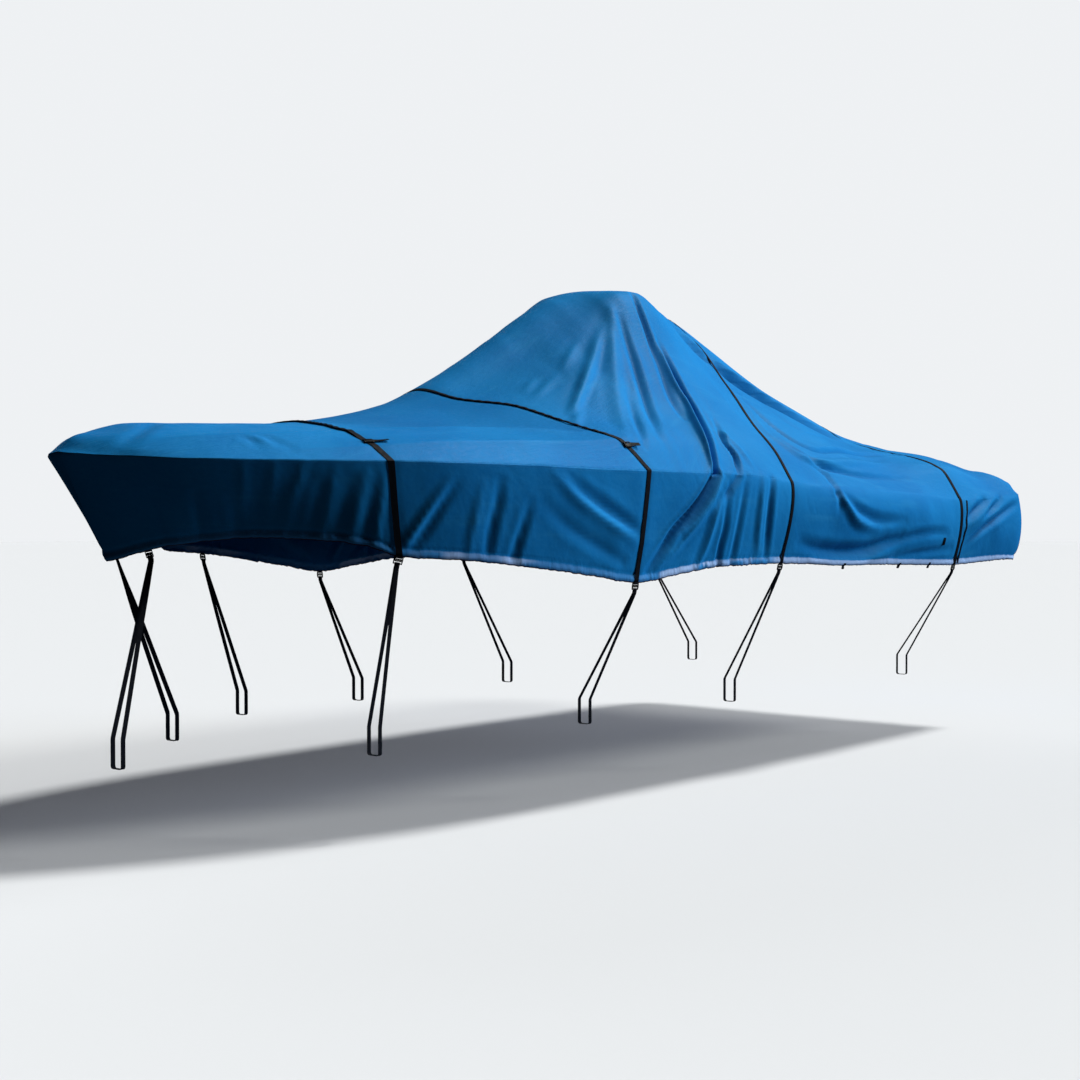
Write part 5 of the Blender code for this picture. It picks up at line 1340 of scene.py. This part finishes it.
STRAP_SHOWN = (0.80, 0.74, 0.64, 0.80)            # share of the strip's width
STRAP_NODES = ("over_strap_1", "over_strap_2", "over_strap_3", "over_strap_4")
HEM_ENDS = {}
STRAP_TOP = {}
for k in range(4):
    cloth, bare, nor = strap_grid(k)
    n_mid = unit(nor.mean(0))
    h = ((cloth - bare) * n_mid).sum(-1)
    along = np.concatenate([[0], np.cumsum(np.linalg.norm(np.diff(cloth.mean(0), axis=0), axis=1))])
    top_h = taut(h.max(0), along, 0.10)
    mid = cloth + n_mid * (top_h - h)[..., None]
    # drawn narrower than its strip, and strap 2 twisted into a rope forward of its buckle
    width = np.full(mid.shape[1], STRAP_SHOWN[k])
    thick = np.full(mid.shape[1], STRAP_T)
    w_at = np.concatenate([-1 - vs[::-1], ts[1:-1], 1 + vs])
    if k == 0:
        rope = ramp(w_at, -0.82, -0.74) * (1 - ramp(w_at, 0.10, 0.30))
        width *= 1 - 0.18 * rope
        thick = thick + 0.0065 * rope * (1 + 0.25 * np.sin(along * 2 * math.pi / 0.061))
    if k == 1:
        rope = ramp(w_at, -0.90, -0.80) * (1 - ramp(w_at, -0.12, 0.02))
        width *= 1 - 0.55 * rope
        width *= 1 + 0.14 * rope * np.sin(along * 2 * math.pi / 0.075)
        thick = thick + 0.0050 * rope * (1 + 0.35 * np.sin(along * 2 * math.pi / 0.052 + 1.0))
    centre_line = mid.mean(0)
    mid = centre_line + (mid - centre_line) * width[None, :, None]
    lo = mid + n_mid * STRAP_LIFT
    hi = mid + n_mid * (STRAP_LIFT + thick)[..., None]
    # rounded edges: the outer rows lean in a little
    ring_pts = []
    for j in range(lo.shape[1]):
        pts = [hi[i, j] for i in range(4)] + [0.5 * (hi[3, j] + lo[3, j]) + 0.0008 * unit(hi[3, j] - hi[2, j])]
        pts += [lo[i, j] for i in range(3, -1, -1)] + [0.5 * (hi[0, j] + lo[0, j]) + 0.0008 * unit(hi[0, j] - hi[1, j])]
        ring_pts.append(pts)
    verts = np.array(ring_pts)
    m, c = verts.shape[:2]
    frac = np.array([0.02, 0.33, 0.66, 0.98, 1.0, 0.98, 0.66, 0.33, 0.02, 0.0])
    uv = np.stack([np.broadcast_to(frac, (m, c)), np.broadcast_to(along[:, None], (m, c))], -1)
    faces = []
    for i in range(m - 1):
        for j in range(c):
            a, b = i * c + j, i * c + (j + 1) % c
            faces.append((a, a + c, b + c, b))
    faces.append(tuple(range(c)))
    faces.append(tuple((m - 1) * c + j for j in reversed(range(c))))
    parts = [(verts.reshape(-1, 3), faces, uv.reshape(-1, 2))]
    for side, end in ((-1, 0), (1, -1)):
        s_l = X[index["top"][strips[k], 0 if side < 0 else -1]]
        s_r = X[index["top"][strips[k] + STRAP_CELLS, 0 if side < 0 else -1]]
        al = unit(skirt_base(s_r, side, 1.0) - skirt_base(s_l, side, 1.0))
        dn = skirt_base(0.5 * (s_l + s_r), side, 1.0) - skirt_base(0.5 * (s_l + s_r), side, 0.74)
        dn = unit(dn - al * (dn @ al))
        nn = np.cross(al, dn)
        if nn[1] * side < 0:
            nn = -nn
        edge = 0.5 * (lo + hi)[:, end].mean(0)
        HEM_ENDS[(k, side)] = (edge, al, dn, nn)
        turn = [edge - dn * 0.012 + nn * 0.0002, edge + dn * 0.0002 + nn * 0.0012,
                edge + dn * 0.0015 + nn * 0.0046, edge + dn * 0.0055 + nn * 0.0050,
                edge + dn * 0.0082 + nn * 0.0010, edge + dn * 0.0072 - nn * 0.0036,
                edge + dn * 0.0018 - nn * 0.0040, edge - dn * 0.004 - nn * 0.0034]
        turn = walk(rounded(turn, 0.0015, 1), 0.002)
        parts.append(tube_parts(turn, [al] * len(turn), STRAP_W * STRAP_SHOWN[k], 0.0016))
    if k == 3:
        # the strap's doubled end, laid beside it down the port skirt
        p, par = PANELS["port"][0], PANELS["port"][2]
        s_top = X[index["top"][strips[k] + STRAP_CELLS, 0]] + 0.060
        rows_at = REFINE * (len(index["port"]) - len(index["top"]))
        path = []
        for v_at in np.linspace(0.03, 0.965, 26):
            s_at = s_top - 0.030 * v_at + 0.006 * math.sin(5 * v_at)
            j = int(np.argmin(np.abs(vs - v_at)))
            i = rows_at + int(np.argmin(np.abs(par[rows_at:, 0, 0] - s_at)))
            path.append(p[i, j] + PANELS["port"][1][i, j] * 0.0022)
        path = np.array(path)
        for _ in range(3):
            path[1:-1] = 0.5 * path[1:-1] + 0.25 * (path[:-2] + path[2:])
        side_v = np.broadcast_to(np.array((1.0, 0.0, 0.05)), path.shape)
        parts.append(tube_parts(path, side_v, 0.017, 0.0022))
    strap = joined("strap_over_%d" % (k + 1), parts, STRAP_MAT)
    seated(strap, "strap_webbing", STRAP_NODES[k])
    STRAP_TOP[k] = (hi, n_mid)


# ---------------------------------------------------------------- buckles
def frame_parts(centre, along, down, out, xs, ys, holes, profile_):
    """Moulded frame: cells between xs and ys but for the holes, each y with its own
    (low, high) heights along out; one closed manifold."""
    nx, ny = len(xs), len(ys)
    vid, verts = {}, []

    def vert(i, j, top_side):
        key = (i, j, top_side)
        if key not in vid:
            vid[key] = len(verts)
            z = profile_[j][1 if top_side else 0]
            verts.append(centre + along * xs[i] + down * ys[j] + out * z)
        return vid[key]

    solid = {(i, j) for i in range(nx - 1) for j in range(ny - 1)} - set(holes)
    faces = []
    for i, j in sorted(solid):
        faces.append([vert(i, j, 1), vert(i + 1, j, 1), vert(i + 1, j + 1, 1), vert(i, j + 1, 1)])
        faces.append([vert(i, j, 0), vert(i, j + 1, 0), vert(i + 1, j + 1, 0), vert(i + 1, j, 0)])
        for (di, dj), (a, b) in (((0, -1), ((i, j), (i + 1, j))), ((1, 0), ((i + 1, j), (i + 1, j + 1))),
                                 ((0, 1), ((i + 1, j + 1), (i, j + 1))), ((-1, 0), ((i, j + 1), (i, j)))):
            if (i + di, j + dj) not in solid:
                faces.append([vert(*a, 1), vert(*a, 0), vert(*b, 0), vert(*b, 1)])
    return verts, faces


def moulded(name, node, pieces_, mat, radius):
    """Object from moulded frames, with rounded edges."""
    bm = bmesh.new()
    for verts, faces in pieces_:
        made = [bm.verts.new(Vector(to_part(v_))) for v_ in verts]
        for f in faces:
            bm.faces.new([made[i] for i in f])
    bmesh.ops.recalc_face_normals(bm, faces=bm.faces)
    sharp = [e for e in bm.edges if e.calc_face_angle(0.0) > math.radians(35)]
    bmesh.ops.bevel(bm, geom=sharp, offset=radius, segments=2, profile=0.6, affect="EDGES",
                    clamp_overlap=True)
    mesh = bpy.data.meshes.new(name)
    bm.to_mesh(mesh)
    bm.free()
    mesh.materials.append(mat)
    mesh.polygons.foreach_set("use_smooth", np.full(len(mesh.polygons), True))
    mesh.set_sharp_from_angle(angle=math.radians(50))
    obj = bpy.data.objects.new(name, mesh)
    bpy.context.scene.collection.objects.link(obj)
    return seated(obj, "buckle", node)


def box_middle(node):
    lo_, hi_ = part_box(node)
    return 0.5 * (np.array(lo_) + np.array(hi_)) + ORIGIN


def bar(centre, along, down, out, half_w, y0, y1, z0, z1):
    """A plain bar, to be bevelled, as one of a buckle's frames."""
    return frame_parts(centre, along, down, out, (-half_w, half_w), (y0, y1), (),
                       ((z0, z1), (z0, z1)))


def ladder_buckle(name, node, centre, al, dn, nn, size):
    w, tall_, deep = (0.5 * q_ for q_ in size)
    xs = (-w, -w + 0.0034, w - 0.0034, w)
    ys = (-tall_, -tall_ + 0.0048, -tall_ + 0.0105, -0.0015, 0.0040, tall_ - 0.0055, tall_)
    rise = ((-0.0020, 0.0026), (-0.0024, 0.0030), (-0.0028, 0.0036), (-0.0030, 0.0046),
            (-0.0030, 0.0046), (-0.0026, 0.0034), (-0.0020, 0.0022))
    rise = tuple((a * deep / 0.006, b * deep / 0.006) for a, b in rise)
    holes = ((1, 1), (1, 3), (1, 4))
    parts = [frame_parts(centre, al, dn, nn, xs, ys, holes, rise)]
    # the lever's grip bar and its toothed edge stand in the lower slot
    parts.append(bar(centre, al, dn, nn, w - 0.0036, -0.0012, 0.0045, 0.0034 * deep / 0.006, deep - 0.0002))
    for i in range(7):
        x = (i - 3) * (w - 0.006) / 3.4
        parts.append(bar(centre + al * x, al, dn, nn, 0.0011, 0.0042, 0.0062,
                         0.0036 * deep / 0.006, deep - 0.0012))
    return moulded(name, node, parts, PLASTIC, 0.0007)


LOOPS = (
    # name,          strap, side, x_bar, y_bar
    ("port_1",       0, -1, 1.13, -0.820), ("port_2",       1, -1, 2.66, -0.850),
    ("port_3",       2, -1, 4.02, -0.860), ("port_4",       3, -1, 6.12, -0.860),
    ("starboard_1",  0,  1, 1.80,  0.840), ("starboard_2",  1,  1, 2.70,  0.850),
    ("starboard_3",  2,  1, 4.06,  0.860), ("starboard_4",  3,  1, 6.16,  0.860),
    ("bow_port",     None, -1, 0.13, -0.250), ("bow_starboard", None, 1, 0.88, 0.300),
)
BOW_STATION = 0.158


def loop_path(centre, half_h, al, dn, nn, gap, x_bar, y_bar, side):
    """Centreline of a tie-down: from the buckle's lower slot down outside the bar,
    round its foot, up behind it and into the slot again."""
    foot = centre + dn * (half_h + PIECE_GAP)
    first, last = foot + nn * gap, foot - nn * gap
    y_out, y_in = y_bar + side * BEAM_W * 0.5, y_bar - side * BEAM_W * 0.5
    r = 0.012
    top_out = np.array((x_bar, y_out, BEAM_TOP))
    top_in = np.array((x_bar, y_in, BEAM_TOP))
    out = [foot - dn * 0.0085 + nn * 0.0013, foot - dn * 0.0070 + nn * 0.0036,
           foot - dn * 0.0035 + nn * 0.0050, first + dn * 0.0015, first + dn * 0.016, top_out,
           np.array((x_bar, y_out, BEAM_FOOT + r))]
    for a in (22.5, 45, 67.5, 90):
        a = math.radians(a)
        out.append(np.array((x_bar, y_out - side * r * (1 - math.cos(a)), BEAM_FOOT + r - r * math.sin(a))))
    for a in (90, 67.5, 45, 22.5, 0):
        a = math.radians(a)
        out.append(np.array((x_bar, y_in + side * r * (1 - math.cos(a)), BEAM_FOOT + r - r * math.sin(a))))
    out += [top_in, last + dn * 0.016, last + dn * 0.0015, foot - dn * 0.0035 - nn * 0.0050,
            foot - dn * 0.0070 - nn * 0.0036, foot - dn * 0.0085 - nn * 0.0013]
    return walk(rounded(out, 0.004, 1), 0.025)


LENGTHS = {}
for name, k, side, x_bar, y_bar in LOOPS:
    centre = box_middle("hem_buckle_" + name)
    if k is None:
        al = unit(skirt_base(BOW_STATION + 0.02, side, 1.0) - skirt_base(BOW_STATION - 0.02, side, 1.0))
        dn = skirt_base(BOW_STATION, side, 1.0) - skirt_base(BOW_STATION, side, 0.74)
        dn = unit(dn - al * (dn @ al))
        nn = np.cross(al, dn)
        if nn[1] * side < 0:
            nn = -nn
        size, gap = (0.034, BUCKLE[1], 0.010), 0.003
    else:
        _, al, dn, nn = HEM_ENDS[(k, side)]
        size, gap = BUCKLE, 0.0035
    ladder_buckle("buckle_hem_" + name, "hem_buckle_" + name, centre, al, dn, nn, size)
    path = loop_path(centre, 0.5 * BUCKLE[1], al, dn, nn, gap, x_bar, y_bar, side)
    run = np.concatenate([[0], np.cumsum(np.linalg.norm(np.diff(path, axis=0), axis=1))])
    # the webbing turns from the hem's direction to the bar's over its first stretch
    f = np.minimum(ramp(run, 0.02, 0.42), ramp(run[-1] - run, 0.02, 0.42))[:, None]
    ahead = al if al[0] > 0 else -al
    widths = ahead * (1 - f) + np.array((1.0, 0.0, 0.0)) * f
    tie = joined("tie_" + name, [tube_parts(path, widths, TIE_W, TIE_T)], TIE_MAT)
    seated(tie, "tie_webbing", "tie_down_" + name)
    LENGTHS[name] = float(run[-1])


# ---------------------------------------------------------------- shoulder buckles
SHOULDERS = (
    # strap, t from, t to, free end
    (0, -0.90, -0.81, 0.075),
    (1, -0.95, -0.90, 0.060),
)
for k, t0, t1, tail in SHOULDERS:
    centre = box_middle("shoulder_buckle_%d" % (k + 1))
    hi, n_mid = STRAP_TOP[k]
    line = hi.mean(0)
    j = int(np.argmin(((line - centre) ** 2).sum(1)))
    al = unit(hi[3, j] - hi[0, j])
    dn = unit(line[j - 2] - line[j + 2])
    dn = unit(dn - al * (dn @ al))
    nn = n_mid[j]
    nn = unit(nn - al * (nn @ al) - dn * (nn @ dn))
    seat = line[j] + nn * (0.0008 + 0.5 * SHOULDER[2])
    centre = centre + nn * max(-0.012, min(0.012, float((seat - centre) @ nn)))
    w, tall_, deep = (0.5 * q_ for q_ in SHOULDER)
    xs = (-w, -w + 0.0036, w - 0.0036, w)
    ys = (-tall_, -tall_ + 0.0050, -0.0030, 0.0030, tall_ - 0.0050, tall_)
    rise = ((-0.0030, 0.0014), (-0.0036, 0.0030), (-0.0036, 0.0040), (-0.0036, 0.0040),
            (-0.0036, 0.0030), (-0.0030, 0.0014))
    parts = [frame_parts(centre, al, dn, nn, xs, ys, ((1, 1), (1, 3)), rise)]
    parts.append(bar(centre, al, dn, nn, w - 0.006, 0.0015, tall_ - 0.001, 0.0026, 0.0040))
    moulded("buckle_shoulder_%d" % (k + 1), "shoulder_buckle_%d" % (k + 1), parts, PLASTIC, 0.0006)
    # webbing's free end, drawn through the buckle and standing off the cover
    root = centre + al * (0.5 * SHOULDER[0] - 0.006) + nn * 0.0005
    steps = np.linspace(0, 1, 14)
    path = [root + al * (tail + 0.006) * s_ + nn * (0.007 * s_ ** 2 - 0.002 * math.sin(math.pi * s_))
            + dn * (0.010 * s_ ** 2) for s_ in steps]
    twist = [dn * math.cos(0.35 * s_) + nn * math.sin(0.35 * s_) for s_ in steps]
    end_piece = joined("strap_tail_%d" % (k + 1), [tube_parts(path, twist, TIE_W, STRAP_T)], STRAP_MAT)
    seated(end_piece, "strap_webbing", "strap_end_%d" % (k + 1))


# ---------------------------------------------------------------- tabs and keeper
TAB_W, TAB_T = 0.022, 0.0014
TAB_UP, TAB_DOWN, TAB_CLEAR = 0.016, 0.020, 0.0011
for side, tag in ((-1, "port"), (1, "starboard")):
    p, n, par = PANELS[tag]
    start = REFINE * (len(index[tag]) - len(index["top"]))
    for count in range(3):
        node = "hem_tab_%s_%d" % (tag, count + 1)
        mid_x = box_middle(node)[0]
        c = start + int(np.argmin(np.abs(p[start:, -1, 0] - mid_x)))
        foot = p[c, -1] + np.array((mid_x - p[c, -1, 0], 0, 0))
        al = unit(p[min(c + 12, len(p) - 1), -1] - p[c - 12, -1])
        dn = foot - p[c, -6]
        dn = unit(dn - al * (dn @ al))
        nn = np.cross(al, dn)
        if nn[1] * side < 0:
            nn = -nn
        # outside line follows the cloth's own surface up from the hem
        up_pts = [p[c, -1 - q_] + n[c, -1 - q_] * (TAB_CLEAR + 0.5 * TAB_T) for q_ in range(0, 7)]
        lens = np.linalg.norm(np.array(up_pts) - up_pts[0], axis=1)
        up_pts = [q_ for q_, l_ in zip(up_pts, lens) if l_ <= TAB_UP + 0.008][::-1]
        far = float((up_pts[-1] - foot) @ nn)
        near = -(CLOTH + TAB_CLEAR + 0.5 * TAB_T)
        r, middle_ = 0.5 * (far - near), 0.5 * (far + near)
        path = list(up_pts)
        for a in range(0, 181, 20):
            a = math.radians(a)
            path.append(foot + nn * (middle_ + r * math.cos(a)) + dn * (TAB_DOWN - r + r * math.sin(a)))
        path += [foot + nn * near, foot + nn * (near - 0.0012) - dn * TAB_UP]
        path = walk(path, 0.006)
        tab = joined("tab_" + node[8:], [tube_parts(path, [al] * len(path), TAB_W, TAB_T)], TIE_MAT)
        seated(tab, "tie_webbing", node)

centre = box_middle("skirt_keeper")
p, n, par = PANELS["port"]
i, j = np.unravel_index(int(np.argmin(((p - centre) ** 2).sum(-1))), p.shape[:2])
al, dn, nn = unit(p[i + 6, j] - p[i - 6, j]), unit(p[i, j + 1] - p[i, j - 1]), n[i, j]
al = unit(al - nn * (al @ nn))
dn = unit(dn - nn * (dn @ nn) - al * (dn @ al))
seat = p[i, j] + nn * 0.0026
path = walk([seat - dn * 0.025 - nn * 0.001, seat - dn * 0.021, seat - dn * 0.012 + nn * 0.0014,
             seat + dn * 0.012 + nn * 0.0014, seat + dn * 0.021, seat + dn * 0.025 - nn * 0.001], 0.004)
keeper = joined("keeper_skirt", [tube_parts(path, [al] * len(path), 0.028, 0.0028)], TIE_MAT)
seated(keeper, "tie_webbing", "skirt_keeper")


# ---------------------------------------------------------------- sheet areas
def area_of(p):
    a = np.cross(p[1:, 1:] - p[:-1, :-1], p[1:, :-1] - p[:-1, 1:])
    return float(0.5 * np.linalg.norm(a, axis=-1).sum())


for name in grids:
    g = grids[name]
    print("cloth", name, "base area %.3f" % area_of(g), "shown area %.3f" % area_of(PANELS[name][0]),
          "rows %.3f" % lengths(g, 0)[-1].max(), "cols %.3f" % lengths(g, 1)[:, -1].max())


# ---------------------------------------------------------------- camera, floor, light
cam_data = bpy.data.cameras.new("camera")
cam_data.lens, cam_data.sensor_width = 60, 36
cam = bpy.data.objects.new("camera", cam_data)
bpy.context.scene.collection.objects.link(cam)
cam.location = (-8.55, -6.575, -1.235)
PITCH = math.radians(1.27)
look = Vector((0.776 * math.cos(PITCH), 0.631 * math.cos(PITCH), -math.sin(PITCH)))
cam.rotation_mode = "QUATERNION"
cam.rotation_quaternion = look.to_track_quat("-Z", "Y")
bpy.context.scene.camera = cam

FLOOR_Z = -2.785
mesh = bpy.data.meshes.new("floor")
R_FLOOR = 60.0
mesh.from_pydata([(R_FLOOR * math.cos(a), R_FLOOR * math.sin(a), FLOOR_Z)
                  for a in np.linspace(0, 2 * math.pi, 65)[:-1]], [], [tuple(range(64))])
floor = bpy.data.objects.new("floor", mesh)
bpy.context.scene.collection.objects.link(floor)
mat, kk, bsdf = new_material("floor_pale")
bsdf.inputs["Base Color"].default_value = (0.612, 0.624, 0.668, 1)
bsdf.inputs["Roughness"].default_value = 0.95
bsdf.inputs["Specular IOR Level"].default_value = 0.1
mesh.materials.append(mat)
floor.visible_diffuse = False
floor.visible_glossy = False
floor.visible_shadow = False

world = bpy.data.worlds.new("studio")
bpy.context.scene.world = world
world.use_nodes = True
world.node_tree.nodes["Background"].inputs[0].default_value = (0.86, 0.88, 0.90, 1)
world.node_tree.nodes["Background"].inputs[1].default_value = 1.0
world.cycles_visibility.diffuse = False
world.cycles_visibility.glossy = False

LIGHTS = (
    # name, direction to the light, strength, softness in degrees
    ("key", (0.498, -0.181, 0.848), 3.05, 9),
    ("key_port", (0.579, -0.579, 0.574), 1.42, 16),
    ("key_aft", (0.791, -0.212, 0.574), 0.45, 20),
    ("side_low", (0.820, -0.545, 0.175), 2.60, 25),
    ("fill_low", (0.0, -0.30, -0.95), 0.20, 60),
    ("fill_starboard", (0.45, 0.84, 0.30), 1.10, 45),
)
for name, direction, strength, soft_ in LIGHTS:
    data = bpy.data.lights.new(name, "SUN")
    data.energy = strength
    data.color = {"side_low": (0.88, 0.96, 1.08), "key": (1.0, 1.0, 0.93),
                  "key_port": (1.0, 1.0, 0.90)}.get(name, (1.0, 1.0, 1.0))
    data.angle = math.radians(soft_)
    lamp = bpy.data.objects.new("light_" + name, data)
    lamp.rotation_mode = "QUATERNION"
    lamp.rotation_quaternion = (-Vector(direction).normalized()).to_track_quat("-Z", "Y")
    lamp.visible_glossy = name in ("key", "key_port")
    bpy.context.scene.collection.objects.link(lamp)
bpy.context.scene.view_settings.view_transform = "Standard"

print("cord lengths", LENGTHS)
